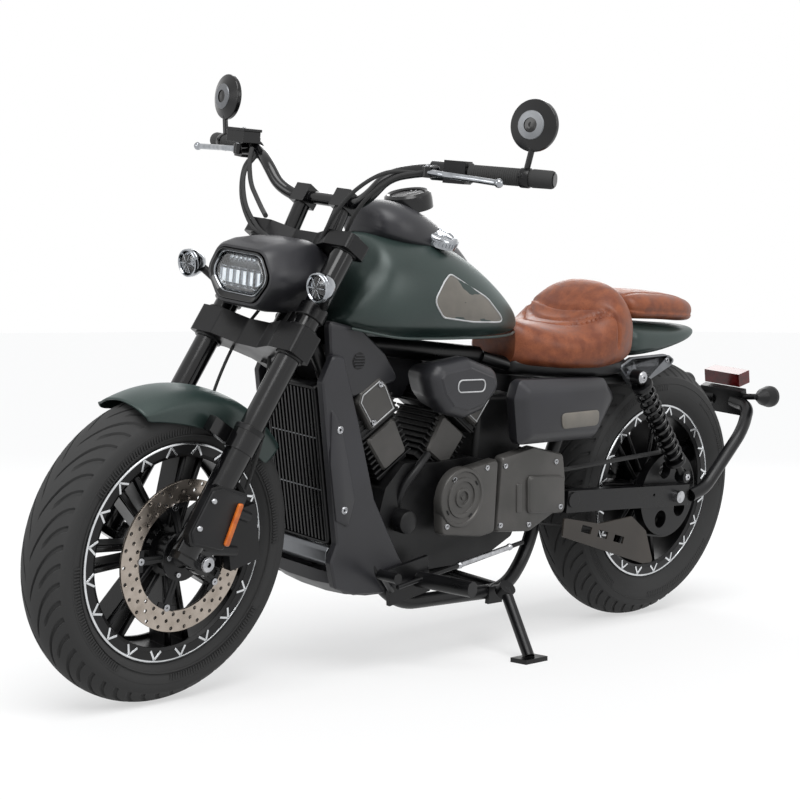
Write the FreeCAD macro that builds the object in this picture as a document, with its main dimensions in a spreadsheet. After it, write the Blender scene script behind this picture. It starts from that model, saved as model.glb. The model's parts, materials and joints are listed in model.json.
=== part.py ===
"""Cruiser motorcycle with a V-twin engine, parked on its side stand.

The machine is drawn upright: X forward from the rear axle, Y to the rider's left, Z up from the
ground. Each finished piece then gets a placement that turns the steered pieces a little to the
left, leans the whole machine onto its side stand and moves the origin to the middle of its base.
"""
import FreeCAD
import Part
import Sketcher
import math
import operator
import os
from FreeCAD import Placement, Rotation, Vector

doc = FreeCAD.newDocument("cruiser_motorcycle")
sheet = doc.addObject("Spreadsheet::Sheet", "Sizes")
nodes = {}


# ---------------------------------------------------------------- driving dimensions

class Size(float):
    """A number that remembers the spreadsheet formula it comes from."""

    def __new__(cls, value, formula):
        size = float.__new__(cls, value)
        size.formula = formula
        return size

    def __add__(self, other):
        return combine(self, "+", other)

    def __radd__(self, other):
        return combine(other, "+", self)

    def __sub__(self, other):
        return combine(self, "-", other)

    def __rsub__(self, other):
        return combine(other, "-", self)

    def __mul__(self, other):
        return combine(self, "*", other)

    def __rmul__(self, other):
        return combine(other, "*", self)

    def __truediv__(self, other):
        return combine(self, "/", other)

    def __neg__(self):
        return combine(0, "-", self)


OPERATORS = {"+": operator.add, "-": operator.sub, "*": operator.mul, "/": operator.truediv}


def combine(left, sign, right):
    value = OPERATORS[sign](float(left), float(right))
    return Size(value, "(%s %s %s)" % (formula_of(left), sign, formula_of(right)))


def formula_of(value):
    return value.formula if isinstance(value, Size) else "%.6f" % value


def size(alias, value, meaning):
    """Write one driving dimension into the sheet and hand it back."""
    size.row += 1
    sheet.set("A%d" % size.row, meaning)
    sheet.set("B%d" % size.row, str(value))
    sheet.setAlias("B%d" % size.row, alias)
    return Size(value, "Sizes." + alias)


size.row = 0

wheelbase = size("wheelbase", 1472, "rear axle to front axle")
front_tyre_r = size("front_tyre_r", 307, "front tyre outer radius")
front_tyre_half = size("front_tyre_half", 65, "half the front tyre's width")
rear_tyre_r = size("rear_tyre_r", 325, "rear tyre outer radius")
rear_tyre_half = size("rear_tyre_half", 76, "half the rear tyre's width")
bead_r = size("bead_r", 203.2, "bead seat radius of a 16 inch rim")
flange_r = size("flange_r", 218, "outer radius of the rim flange")
front_rim_half = size("front_rim_half", 49, "half the front rim's outer width")
rear_rim_half = size("rear_rim_half", 62, "half the rear rim's outer width")
flange_wide = size("flange_wide", 6, "thickness of the rim flange")
barrel_wall = size("barrel_wall", 7, "thickness of the rim barrel")
spoke_pairs = size("spoke_pairs", 7, "pairs of spokes in a wheel")
crown_ratio = size("crown_ratio", 2.1445, "crown radius over the arc's tangent, for a 50 degree shoulder")
tyre_wall = size("tyre_wall", 9, "thickness of a tyre's carcass")
hub_r = size("hub_r", 38, "radius of a wheel hub")
axle_r = size("axle_r", 10, "radius of an axle")
disc_r = size("disc_r", 150, "outer radius of the front brake disc")
disc_band = size("disc_band", 44, "radial width of a disc's swept ring")
disc_wide = size("disc_wide", 5, "thickness of a brake disc")
disc_y = size("disc_y", 70, "front disc's distance from the middle")
rear_disc_r = size("rear_disc_r", 120, "outer radius of the rear brake disc")
pulley_r = size("pulley_r", 105, "radius of the rear belt pulley")
small_pulley_r = size("small_pulley_r", 45, "radius of the engine's belt pulley")
belt_wide = size("belt_wide", 22, "width of the drive belt")
belt_y = size("belt_y", 95, "middle of the belt from the machine's middle")
rake = size("rake", 31, "angle of the steering axis from upright, degrees")
axle_offset = size("axle_offset", 25, "front axle ahead of the steering axis")
tube_offset = size("tube_offset", 68, "fork tubes ahead of the steering axis")
tube_y = size("tube_y", 120, "fork tube from the middle")
tube_r = size("tube_r", 24, "radius of a fork tube")
slider_r = size("slider_r", 27, "radius of a fork slider")
slider_top = size("slider_top", 262, "top of the slider along the fork")
fork_top = size("fork_top", 706, "top of the fork cap along the fork")
lower_yoke_at = size("lower_yoke_at", 459, "middle of the lower yoke along the fork")
lower_yoke_tall = size("lower_yoke_tall", 58, "height of the lower yoke")
upper_yoke_at = size("upper_yoke_at", 684, "middle of the upper yoke along the fork")
upper_yoke_tall = size("upper_yoke_tall", 32, "height of the upper yoke")
stem_r = size("stem_r", 15, "radius of the steering stem")
head_tube_r = size("head_tube_r", 30, "outer radius of the steering head tube")
running_gap = size("running_gap", 0.3, "gap between a turning piece and its seat")
bar_r = size("bar_r", 13, "radius of the handlebar")
grip_r = size("grip_r", 17, "radius of a handlebar grip")
mirror_r = size("mirror_r", 50, "radius of a mirror")
frame_tube_r = size("frame_tube_r", 16, "radius of a frame tube")
engine_half = size("engine_half", 80, "half the crankcase's width")
cylinder_angle = size("cylinder_angle", 33.5, "each cylinder's lean from upright, degrees")
cylinder_across = size("cylinder_across", 150, "width of a cylinder across the machine")
cover_thick = size("cover_thick", 26, "depth of the left engine cover")
radiator_wide = size("radiator_wide", 164, "width of the radiator")
radiator_tall = size("radiator_tall", 350, "height of the radiator")
radiator_deep = size("radiator_deep", 34, "depth of the radiator")
tank_half = size("tank_half", 152, "half the fuel tank's width")
cap_r = size("cap_r", 40, "radius of the fuel cap")
seat_half = size("seat_half", 150, "half the rider seat's width")
pad_half = size("pad_half", 92, "half the passenger seat's width")
swingarm_y = size("swingarm_y", 122, "swingarm beam from the middle")
swingarm_tall = size("swingarm_tall", 52, "height of a swingarm beam")
swingarm_wide = size("swingarm_wide", 24, "width of a swingarm beam")
shock_y = size("shock_y", 148, "rear shock from the middle")
spring_r = size("spring_r", 26, "outer radius of a shock spring")
spool_r = size("spool_r", 4, "radius of the paddock-stand spool holes, M8 thread")
silencer_r = size("silencer_r", 46, "radius of a silencer")
steer_angle = size("steer_angle", 3.5, "how far the front is turned left at rest, degrees")
lean_angle = size("lean_angle", 6.5, "lean to the left on the side stand, degrees")
pitch_angle = size("pitch_angle", -0.03, "nose-up turn that seats both tyres, degrees")
origin_x = size("origin_x", 700.4, "middle of the parked machine ahead of the rear axle")
origin_y = size("origin_y", 129.6, "middle of the parked machine left of the tyre line")
doc.recompute()


# ---------------------------------------------------------------- placements

SIDEWAYS = Rotation(Vector(1, 0, 0), -90)
ACROSS = Rotation(Vector(0, 1, 0), Vector(0, 0, 1), Vector(1, 0, 0))
FLAT = Rotation()

rake_cos = math.cos(math.radians(rake))
rake_sin = math.sin(math.radians(rake))
fork_foot = Vector(wheelbase - axle_offset * rake_cos, 0, front_tyre_r - axle_offset * rake_sin)
FORK = Placement(fork_foot, Rotation(Vector(0, 1, 0), -rake))
steering_axis = Vector(-rake_sin, 0, rake_cos)

crown_r = (rear_tyre_half * 0.5 - 1) * crown_ratio
ground_lift = crown_r * (1 - math.cos(math.radians(lean_angle)))
LEAN = Placement(Vector(-origin_x, -origin_y, ground_lift), Rotation(Vector(1, 0, 0), -lean_angle))
PITCH = Placement(Vector(), Rotation(Vector(0, 1, 0), -pitch_angle))
PARKED = LEAN.multiply(PITCH)
TURNED = PARKED.multiply(Placement(Vector(), Rotation(steering_axis, steer_angle), fork_foot))

REAR_AXLE = Placement(Vector(0, 0, rear_tyre_r), SIDEWAYS)
FRONT_AXLE = Placement(Vector(wheelbase, 0, front_tyre_r), SIDEWAYS)


def at(x=0, y=0, z=0, turn=FLAT):
    return Placement(Vector(x, y, z), turn)


def pitched(degrees):
    """Turn about the crosswise axis: a positive angle lifts the front."""
    return Rotation(Vector(0, 1, 0), -degrees)


def fork_point(ahead, left, along):
    """A place given in the fork's own frame, in the machine's frame."""
    return FORK.multVec(Vector(ahead, left, along))


# ---------------------------------------------------------------- making shapes

def bind(obj, **values):
    """Set properties, by formula where the value comes from the sheet."""
    for name, value in values.items():
        if isinstance(value, Size):
            obj.setExpression(name, value.formula)
        else:
            setattr(obj, name, value)
    return obj


def block(name, centre, length, width, height, turn=FLAT):
    """A box given by its centre."""
    box = bind(doc.addObject("Part::Box", name), Length=length, Width=width, Height=height)
    corner = turn.multVec(Vector(-length / 2, -width / 2, -height / 2))
    box.Placement = Placement(Vector(*centre).add(corner), turn)
    return box


def rod(name, start, end, radius):
    """A round bar between two points."""
    start, end = Vector(*start), Vector(*end)
    bar = bind(doc.addObject("Part::Cylinder", name), Radius=radius, Height=end.distanceToPoint(start))
    bar.Placement = Placement(start, Rotation(Vector(0, 0, 1), end.sub(start)))
    return bar


def taper(name, start, end, start_radius, end_radius):
    start, end = Vector(*start), Vector(*end)
    cone = doc.addObject("Part::Cone", name)
    bind(cone, Radius1=start_radius, Radius2=end_radius, Height=end.distanceToPoint(start))
    cone.Placement = Placement(start, Rotation(Vector(0, 0, 1), end.sub(start)))
    return cone


def fuse(name, pieces):
    return bind(doc.addObject("Part::MultiFuse", name), Shapes=pieces)


def cut(name, base, tools):
    tool = tools[0] if len(tools) == 1 else fuse(name + "_tool", tools)
    return bind(doc.addObject("Part::Cut", name), Base=base, Tool=tool)


def together(name, pieces):
    """Pieces of one node that don't touch each other."""
    return bind(doc.addObject("Part::Compound", name), Links=pieces)


def hold(sketch, kind, geometry, value):
    """Fix one coordinate or radius of a sketch's element."""
    if kind == "Radius":
        rule = Sketcher.Constraint(kind, geometry, float(value))
    else:
        rule = Sketcher.Constraint(kind, geometry, 1, float(value))
    index = sketch.addConstraint(rule)
    if isinstance(value, Size):
        sketch.setExpression("Constraints[%d]" % index, value.formula)


def outline(sketch, corners, radius=0):
    """Draw a closed polygon, listed anticlockwise, with rounded or sharp corners.

    Each corner is a pair, or has a third number for a radius of its own.
    """
    points = [Vector(float(corner[0]), float(corner[1])) for corner in corners]
    radii = [corner[2] if len(corner) > 2 else radius for corner in corners]
    marks = []
    for point, corner in zip(points, corners):
        mark = sketch.addGeometry(Part.Point(point), True)
        hold(sketch, "DistanceX", mark, corner[0])
        hold(sketch, "DistanceY", mark, corner[1])
        marks.append(mark)
    ends = [rounding(points[i - 1], points[i], points[(i + 1) % len(points)], float(radii[i]))
            for i in range(len(points))]
    lines = []
    for i in range(len(points)):
        following = (i + 1) % len(points)
        line = Part.LineSegment(ends[i][1], ends[following][0])
        lines.append(sketch.addGeometry(line))
    for i, mark in enumerate(marks):
        join_corner(sketch, lines[i - 1], lines[i], mark, ends[i], radii[i])


def rounding(before, corner, after, radius):
    """Where a corner's arc starts and ends, and its centre and sense."""
    inward, outward = corner.sub(before), after.sub(corner)
    if radius == 0:
        return corner, corner, None, 0
    turn = math.atan2(inward.x * outward.y - inward.y * outward.x, inward.dot(outward))
    trim = radius * math.tan(abs(turn) / 2)
    start = corner.sub(Vector(inward).normalize().multiply(trim))
    end = corner.add(Vector(outward).normalize().multiply(trim))
    side = 1 if turn > 0 else -1
    across = Vector(-inward.y, inward.x, 0).normalize().multiply(radius * side)
    return start, end, start.add(across), side


def join_corner(sketch, line_in, line_out, mark, ends, radius):
    start, end, centre, side = ends
    if centre is None:
        sketch.addConstraint(Sketcher.Constraint("Coincident", line_in, 2, mark, 1))
        sketch.addConstraint(Sketcher.Constraint("Coincident", line_out, 1, mark, 1))
        return
    first, last = (start, end) if side > 0 else (end, start)
    angles = [math.atan2(point.y - centre.y, point.x - centre.x) for point in (first, last)]
    circle = Part.Circle(centre, Vector(0, 0, 1), float(radius))
    arc = sketch.addGeometry(Part.ArcOfCircle(circle, angles[0], angles[1]))
    in_end, out_end = (1, 2) if side > 0 else (2, 1)
    sketch.addConstraint(Sketcher.Constraint("PointOnObject", mark, 1, line_in))
    sketch.addConstraint(Sketcher.Constraint("PointOnObject", mark, 1, line_out))
    sketch.addConstraint(Sketcher.Constraint("Tangent", line_in, 2, arc, in_end))
    sketch.addConstraint(Sketcher.Constraint("Tangent", line_out, 1, arc, out_end))
    hold(sketch, "Radius", arc, radius)


def ring(sketch, x, y, radius):
    """A full circle in a sketch."""
    circle = Part.Circle(Vector(float(x), float(y)), Vector(0, 0, 1), float(radius))
    index = sketch.addGeometry(circle)
    for kind, value in (("DistanceX", x), ("DistanceY", y)):
        rule = sketch.addConstraint(Sketcher.Constraint(kind, index, 3, float(value)))
        if isinstance(value, Size):
            sketch.setExpression("Constraints[%d]" % rule, value.formula)
    hold(sketch, "Radius", index, radius)


def new_body(name):
    return doc.addObject("PartDesign::Body", name)


def sketch_on(body, role, name="sketch"):
    sketch = body.newObject("Sketcher::SketchObject", body.Name + "_" + name)
    plane = next(item for item in body.Origin.OriginFeatures if item.Role == role)
    sketch.AttachmentSupport = [(plane, "")]
    sketch.MapMode = "FlatFace"
    return sketch


def add_pad(body, sketch, length, name="pad"):
    pad = body.newObject("PartDesign::Pad", body.Name + "_" + name)
    pad.Profile = sketch
    bind(pad, Length=length)
    pad.Midplane = True
    return pad


def prism(name, corners, thickness, place, radius=0, role="XZ_Plane", holes=()):
    """A plate with the given outline, as thick to each side of its sketch plane."""
    body = new_body(name)
    sketch = sketch_on(body, role)
    outline(sketch, corners, radius)
    for x, y, hole_radius in holes:
        ring(sketch, x, y, hole_radius)
    add_pad(body, sketch, thickness)
    body.Placement = place
    return body


def side_plate(name, corners, inner, outer, radius=0, holes=()):
    """A plate in the machine's side view, between two distances from the middle."""
    return prism(name, corners, outer - inner, at(0, (outer + inner) / 2, 0), radius, holes=holes)


def turned(name, corners, place, radius=0, angle=360):
    """A body of revolution about its own Z, from (radius, height) corners."""
    body = new_body(name)
    sketch = sketch_on(body, "XZ_Plane")
    outline(sketch, corners, radius)
    turning = body.newObject("PartDesign::Revolution", name + "_turn")
    turning.Profile = sketch
    turning.ReferenceAxis = (sketch, ["V_Axis"])
    turning.Angle = angle
    body.Placement = place
    return body


def both_sides(half):
    """Close a crosswise outline from its left half, listed from the bottom up."""
    other_half = [(-corner[0],) + tuple(corner[1:]) for corner in reversed(half)]
    return [tuple(corner) for corner in half] + other_half


def loft(name, stations, radius):
    """A skin through crosswise outlines: each station is a placement and a left half."""
    sections = []
    for number, (place, half) in enumerate(stations):
        sketch = doc.addObject("Sketcher::SketchObject", "%s_section_%d" % (name, number))
        sketch.Placement = place
        outline(sketch, both_sides(half), radius)
        sections.append(sketch)
    return bind(doc.addObject("Part::Loft", name), Sections=sections, Solid=True, Ruled=False)


def station(x, z=0, tilt=0):
    """A crosswise plane at x; a positive tilt leans its top backwards."""
    return Placement(Vector(x, 0, z), Rotation(Vector(0, 1, 0), -tilt).multiply(ACROSS))


def route_wire(points):
    """Straight runs between the points, joined by the largest tangent arcs that fit."""
    points = [Vector(*point) for point in points]
    edges = []
    start = points[0]
    for before, corner, after in zip(points, points[1:], points[2:]):
        run_in, run_out = corner.sub(before), after.sub(corner)
        turn = run_in.getAngle(run_out)
        trim = 0.45 * min(run_in.Length, run_out.Length)
        radius = trim / math.tan(turn / 2)
        run_in.normalize()
        run_out.normalize()
        enter = corner.sub(Vector(run_in).multiply(trim))
        leave = corner.add(Vector(run_out).multiply(trim))
        inward = run_out.sub(run_in).normalize()
        centre = corner.add(Vector(inward).multiply(radius / math.cos(turn / 2)))
        middle = centre.sub(inward.multiply(radius))
        edges.append(Part.LineSegment(start, enter).toShape())
        edges.append(Part.Arc(enter, middle, leave).toShape())
        start = leave
    edges.append(Part.LineSegment(start, points[-1]).toShape())
    return Part.Wire(edges)


def bent_tube(name, points, radius):
    """A round tube swept along a route."""
    path = doc.addObject("Part::Feature", name + "_route")
    path.Shape = route_wire(points)
    section = bind(doc.addObject("Part::Circle", name + "_section"), Radius=radius)
    along = Vector(*points[1]).sub(Vector(*points[0]))
    section.Placement = Placement(Vector(*points[0]), Rotation(Vector(0, 0, 1), along))
    return bind(doc.addObject("Part::Sweep", name), Sections=[section], Spine=(path, []), Solid=True,
                Frenet=False)


def finish(label, obj, stand):
    """Name a finished piece and stand it where it parks."""
    nodes[label] = (obj, stand)


SIDES = (("left", 1), ("right", -1))


# ---------------------------------------------------------------- wheels

def tyre(name, place, stand, outer, half, rim_half):
    """A round-crowned tyre: the crown's two arcs almost meet in the middle of the tread."""
    bead = rim_half - flange_wide
    shoulder = outer - half * 0.6
    crown_bend = (half * 0.5 - 1) * crown_ratio
    under_tread = outer - tyre_wall * 1.4
    profile = [
        (bead_r, -bead), (flange_r, -bead), (shoulder, -half, 20), (outer, -half * 0.5, crown_bend),
        (outer, half * 0.5, crown_bend), (shoulder, half, 20), (flange_r, bead), (bead_r, bead),
        (bead_r, bead - tyre_wall), (shoulder, half - tyre_wall - 3), (under_tread, half * 0.35),
        (under_tread, -half * 0.35), (shoulder, -half + tyre_wall + 3), (bead_r, -bead + tyre_wall)]
    finish(name, turned(name, profile, place), stand)


def rim(name, place, stand, rim_half, hub_half):
    """A cast rim: barrel with flanges, hub, and pairs of spokes."""
    inner = bead_r - barrel_wall
    lip = rim_half - flange_wide
    body = new_body(name)
    barrel = sketch_on(body, "XZ_Plane", "barrel")
    outline(barrel, [(inner, -rim_half), (flange_r, -rim_half), (flange_r, -lip), (bead_r, -lip),
                     (bead_r, lip), (flange_r, lip), (flange_r, rim_half), (inner, rim_half)])
    turning = body.newObject("PartDesign::Revolution", name + "_barrel_turn")
    turning.Profile = barrel
    turning.ReferenceAxis = (barrel, ["V_Axis"])
    turning.Angle = 360
    hub = sketch_on(body, "XY_Plane", "hub")
    ring(hub, 0, 0, hub_r)
    ring(hub, 0, 0, axle_r + running_gap)
    add_pad(body, hub, hub_half * 2, "hub_pad")
    spoke = sketch_on(body, "XY_Plane", "spoke")
    for side in (1, -1):
        outline(spoke, [(hub_r - 6, 5 * side), (hub_r - 6, 17 * side), (inner + 2, 30 * side),
                        (inner + 2, 14 * side)][::-side])
    arms = add_pad(body, spoke, rim_half * 0.9, "spoke_pad")
    pattern = body.newObject("PartDesign::PolarPattern", name + "_spokes")
    pattern.Originals = [arms]
    pattern.Axis = (hub, ["N_Axis"])
    pattern.Angle = 360
    bind(pattern, Occurrences=spoke_pairs)
    body.Tip = pattern
    body.Placement = place
    finish(name, body, stand)


def brake_disc(name, place, stand, outer, carrier_in, away):
    """A swept ring on a carrier whose arms run in to the hub."""
    inner = outer - disc_band
    band = turned(name + "_band", [(inner, -disc_wide / 2), (outer, -disc_wide / 2),
                                   (outer, disc_wide / 2), (inner, disc_wide / 2)], place)
    carrier = new_body(name + "_carrier")
    centre = sketch_on(carrier, "XY_Plane", "centre")
    ring(centre, 0, 0, 58)
    ring(centre, 0, 0, carrier_in)
    add_pad(carrier, centre, disc_wide, "centre_pad")
    arm = sketch_on(carrier, "XY_Plane", "arm")
    outline(arm, [(52, -9), (inner + 4, -6), (inner + 4, 6), (52, 9)])
    arms = add_pad(carrier, arm, disc_wide - 1, "arm_pad")
    pattern = carrier.newObject("PartDesign::PolarPattern", name + "_arms")
    pattern.Originals = [arms]
    pattern.Axis = (centre, ["N_Axis"])
    pattern.Angle = 360
    pattern.Occurrences = 5
    carrier.Tip = pattern
    carrier.Placement = place
    disc = fuse(name, [band, carrier])
    disc.Placement = at(0, away, 0)
    finish(name, disc, stand)


rear_hub_half = belt_y - belt_wide / 2 - 1


def wheels():
    tyre("front_tyre", FRONT_AXLE, TURNED, front_tyre_r, front_tyre_half, front_rim_half)
    tyre("rear_tyre", REAR_AXLE, PARKED, rear_tyre_r, rear_tyre_half, rear_rim_half)
    rim("front_rim", FRONT_AXLE, TURNED, front_rim_half, disc_y - disc_wide / 2)
    rim("rear_rim", REAR_AXLE, PARKED, rear_rim_half, rear_hub_half)
    brake_disc("front_disc", FRONT_AXLE, TURNED, disc_r, axle_r + 4, disc_y)
    brake_disc("rear_disc", REAR_AXLE, PARKED, rear_disc_r, axle_r + 4, -(rear_hub_half + disc_wide / 2))


def rear_pulley():
    body = new_body("rear_pulley")
    sketch = sketch_on(body, "XY_Plane")
    ring(sketch, 0, 0, pulley_r)
    ring(sketch, 0, 0, axle_r + 4)
    add_pad(body, sketch, belt_wide + 2)
    hole = sketch_on(body, "XY_Plane", "hole")
    ring(hole, pulley_r * 0.62, 0, 22)
    pocket = body.newObject("PartDesign::Pocket", "rear_pulley_hole")
    pocket.Profile = hole
    pocket.Type = 1
    pocket.Midplane = True
    pattern = body.newObject("PartDesign::PolarPattern", "rear_pulley_holes")
    pattern.Originals = [pocket]
    pattern.Axis = (sketch, ["N_Axis"])
    pattern.Angle = 360
    pattern.Occurrences = 5
    body.Tip = pattern
    body.Placement = REAR_AXLE.multiply(at(0, 0, belt_y))
    finish("rear_pulley", body, PARKED)


# ---------------------------------------------------------------- fork and steering

def fork_leg(side, sign):
    name = side + "_fork_leg"
    x, y = tube_offset, tube_y * sign
    eye_in, eye_out = (tube_y - 16) * sign, (tube_y + 13) * sign
    upper = rod(name + "_tube", fork_point(x, y, slider_top - 60), fork_point(x, y, fork_top - 4), tube_r)
    slider = rod(name + "_slider", fork_point(x, y, -6), fork_point(x, y, slider_top - 46), slider_r)
    collar = rod(name + "_collar", fork_point(x, y, slider_top - 46),
                 fork_point(x, y, slider_top), slider_r + 3)
    cap = rod(name + "_cap", fork_point(x, y, upper_yoke_at + upper_yoke_tall / 2),
              fork_point(x, y, fork_top), tube_r - 3)
    lug = fork_lug(name + "_lug", sign)
    eye = rod(name + "_eye", (wheelbase, eye_in, front_tyre_r), (wheelbase, eye_out, front_tyre_r), 24)
    bracket_at = fork_point(tube_offset + 46, (tube_y - 26) * sign, slider_top - 26)
    bracket = block(name + "_bracket", bracket_at, 62, 20, 30, FORK.Rotation)
    bore = rod(name + "_bore", (wheelbase, (tube_y - 40) * sign, front_tyre_r),
               (wheelbase, (tube_y + 40) * sign, front_tyre_r), axle_r)
    return cut(name, fuse(name + "_solid", [upper, slider, collar, cap, lug, eye, bracket]), [bore])


def fork_lug(name, sign):
    """The foot that carries the axle behind the slider."""
    middle = fork_point((tube_offset + axle_offset) / 2, tube_y * sign, 0)
    return block(name, middle, tube_offset - axle_offset + 44, 26, 40, FORK.Rotation)


def fork_legs():
    finish("fork_legs", together("fork_legs", [fork_leg(side, sign) for side, sign in SIDES]), TURNED)


def yoke(name, middle, tall, back):
    """A flat bridge that clamps both tubes and the steering stem."""
    reach = tube_y + tube_r + 8
    nose = tube_offset + tube_r + 8
    half = [(-back, 24), (6, 42), (tube_offset - tube_r - 8, tube_y - tube_r),
            (tube_offset - tube_r - 6, reach), (nose, reach), (nose, tube_y - tube_r - 10), (nose - 26, 30)]
    corners = [(x, -y) for x, y in half] + [(x, y) for x, y in reversed(half)]
    plate = prism(name, corners, tall, FORK.multiply(at(0, 0, middle)), 10, "XY_Plane")
    return plate


def fork_yokes():
    lower = yoke("lower_yoke", lower_yoke_at, lower_yoke_tall, head_tube_r + 4)
    upper = yoke("upper_yoke", upper_yoke_at, upper_yoke_tall, head_tube_r + 2)
    stem = rod("steering_stem", fork_point(0, 0, lower_yoke_at - lower_yoke_tall / 2 - 6),
               fork_point(0, 0, upper_yoke_at + upper_yoke_tall / 2 + 14), stem_r)
    top_nut = rod("stem_nut", fork_point(0, 0, upper_yoke_at + upper_yoke_tall / 2),
                  fork_point(0, 0, upper_yoke_at + upper_yoke_tall / 2 + 12), stem_r + 8)
    holes = [rod("yoke_hole_" + side, fork_point(tube_offset, tube_y * sign, 380),
                 fork_point(tube_offset, tube_y * sign, 720), tube_r) for side, sign in SIDES]
    yokes = cut("fork_yokes", fuse("yokes_solid", [lower, upper, stem, top_nut]), holes)
    finish("fork_yokes", yokes, TURNED)


bar_end = Vector(991, 490, 1088)
riser_y = 58
bar_middle = Vector(1112, 0, 998)


def bar_route():
    left = [(bar_middle.x, 92, bar_middle.z), (1122, 132, 1016), (1120, 178, 1062), (1086, 240, 1081),
            tuple(bar_end)]
    return [(x, -y, z) for x, y, z in reversed(left)] + left


def bar_point(along, sign=1):
    """A point on the straight grip stretch, as a fraction from the grip's start to the end."""
    start, end = Vector(1086, 240, 1081), bar_end
    point = start.add(end.sub(start).multiply(along))
    return Vector(point.x, point.y * sign, point.z)


def handlebar():
    """The bar and the two risers that clamp it to the upper yoke."""
    pieces = [bent_tube("handlebar_tube", bar_route(), bar_r)]
    for side, sign in SIDES:
        foot = fork_point(tube_offset - 4, riser_y * sign, upper_yoke_at + upper_yoke_tall / 2)
        top = Vector(bar_middle.x, riser_y * sign, bar_middle.z)
        pieces.append(rod("riser_post_" + side, foot, top, 17))
        pieces.append(block("riser_clamp_" + side, tuple(top), 40, 40, 40, FORK.Rotation))
    finish("handlebar", fuse("handlebar", pieces), TURNED)


def bar_sleeves(name, pieces):
    """Pieces round the handlebar: solids with the bar's bore taken out."""
    bores = [rod("%s_bore_%s" % (name, side), bar_point(0.02, sign), bar_point(1.04, sign), bar_r)
             for side, sign in SIDES]
    finish(name, cut(name, together(name + "_pieces", pieces), bores), TURNED)


def hand_controls():
    grips, switches = [], []
    for side, sign in SIDES:
        grips.append(rod("grip_" + side, bar_point(0.36, sign), bar_point(0.99, sign), grip_r))
        centre = bar_point(0.26, sign)
        turn = Rotation(Vector(0, sign, 0), bar_point(1, sign).sub(bar_point(0, sign)))
        switches.append(block("switch_" + side, tuple(centre), 40, 44, 44, turn))
    bar_sleeves("grips", grips)
    bar_sleeves("switch_housings", switches)
    levers = []
    for side, sign in SIDES:
        perch = bar_point(0.12, sign)
        levers.append(rod("perch_" + side, bar_point(0.08, sign), bar_point(0.16, sign), bar_r + 6))
        pivot = perch.add(Vector(40, 4 * sign, -4))
        levers.append(rod("perch_arm_" + side, tuple(perch), tuple(pivot), 8))
        knee = bar_point(0.4, sign).add(Vector(62, 0, -8))
        tip = bar_point(0.78, sign).add(Vector(78, 0, -14))
        levers.append(rod("lever_root_" + side, tuple(pivot), tuple(knee), 6))
        levers.append(rod("lever_blade_" + side, tuple(knee), tuple(tip), 6))
        ball = doc.addObject("Part::Sphere", "lever_ball_" + side)
        bind(ball, Radius=9)
        ball.Placement = at(*tip)
        levers.append(ball)
    levers.append(block("brake_reservoir", tuple(bar_point(0.10, -1).add(Vector(34, 0, 26))), 52, 58, 30))
    bores = [rod("lever_bore_" + side, bar_point(0.02, sign), bar_point(0.3, sign), bar_r)
             for side, sign in SIDES]
    finish("levers", cut("levers", fuse("levers_solid", levers), bores), TURNED)


def mirror(side, sign):
    name = side + "_mirror"
    foot = bar_point(0.78, sign).add(Vector(0, 0, grip_r - 1))
    elbow = Vector(1008, 442 * sign, 1140)
    centre = Vector(1003, 441 * sign, 1186)
    back = centre.add(Vector(10, 0, 0))
    stem = rod(name + "_stem", tuple(foot), tuple(elbow.add(Vector(4, 0, 0))), 6)
    upper = rod(name + "_neck", tuple(elbow.add(Vector(4, 0, 0))), tuple(back.add(Vector(0, 0, -20))), 7)
    profile = [(0, -9), (mirror_r, -9, 3), (mirror_r, 2, 3), (mirror_r * 0.5, 12, 10), (0, 14)]
    pod = turned(name + "_pod", profile,
                 Placement(back, Rotation(Vector(0, 0, 1), Vector(1, 0.18 * sign, 0.02))))
    return fuse(name, [stem, upper, pod])


def mirrors():
    finish("mirrors", together("mirrors", [mirror(side, sign) for side, sign in SIDES]), TURNED)


def headlight():
    """The cowl is a hollow nose; the lamp unit sits in its mouth."""
    stations = [
        (station(1200), [(52, 778), (92, 800), (92, 880), (66, 922)]),
        (station(1262), [(58, 772), (112, 806), (110, 872), (76, 914)]),
        (station(1328), [(56, 784), (101, 812), (99, 868), (66, 896)])]
    shell = loft("cowl_shell", stations, 20)
    mouth = [(station(1240), [(38, 800), (76, 822), (76, 858), (48, 882)]),
             (station(1330), [(48, 793), (90, 818), (89, 862), (58, 887)])]
    hollow = loft("cowl_mouth", mouth, 16)
    roof = block("cowl_roof", (1184, 0, 892), 60, 120, 22, pitched(-4))
    finish("headlight_cowl", cut("headlight_cowl", fuse("cowl_solid", [shell, roof]), [hollow]), TURNED)
    lamp = loft("headlight", [(station(1244), [(36, 806), (66, 824), (66, 856), (46, 876)]),
                              (station(1318), [(44, 799), (82, 821), (81, 858), (54, 881)])], 12)
    finish("headlight", lamp, TURNED)


def front_indicators():
    pieces = []
    for side, sign in SIDES:
        y = 191 * sign
        pieces.append(turned("front_indicator_pod_" + side,
                             [(0, -4), (28, -4, 3), (29, 8, 3), (24, 34, 8), (7, 74, 4), (0, 76)],
                             Placement(Vector(1296, y, 841), Rotation(Vector(0, 0, 1), Vector(-1, 0, 0.12)))))
        pieces.append(rod("front_indicator_stalk_" + side, (1266, y, 838),
                          (1222, (tube_y + 12) * sign, 786), 10))
        clamp = [(tube_r, -16), (tube_r + 6, -16), (tube_r + 6, 16), (tube_r, 16)]
        pieces.append(turned("front_indicator_clamp_" + side, clamp,
                             FORK.multiply(at(tube_offset, tube_y * sign, 528))))
    tubes = [rod("indicator_tube_" + side, fork_point(tube_offset, tube_y * sign, 480),
                 fork_point(tube_offset, tube_y * sign, 600), tube_r) for side, sign in SIDES]
    finish("front_indicators", cut("front_indicators", fuse("indicators_solid", pieces), tubes), TURNED)


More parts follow.
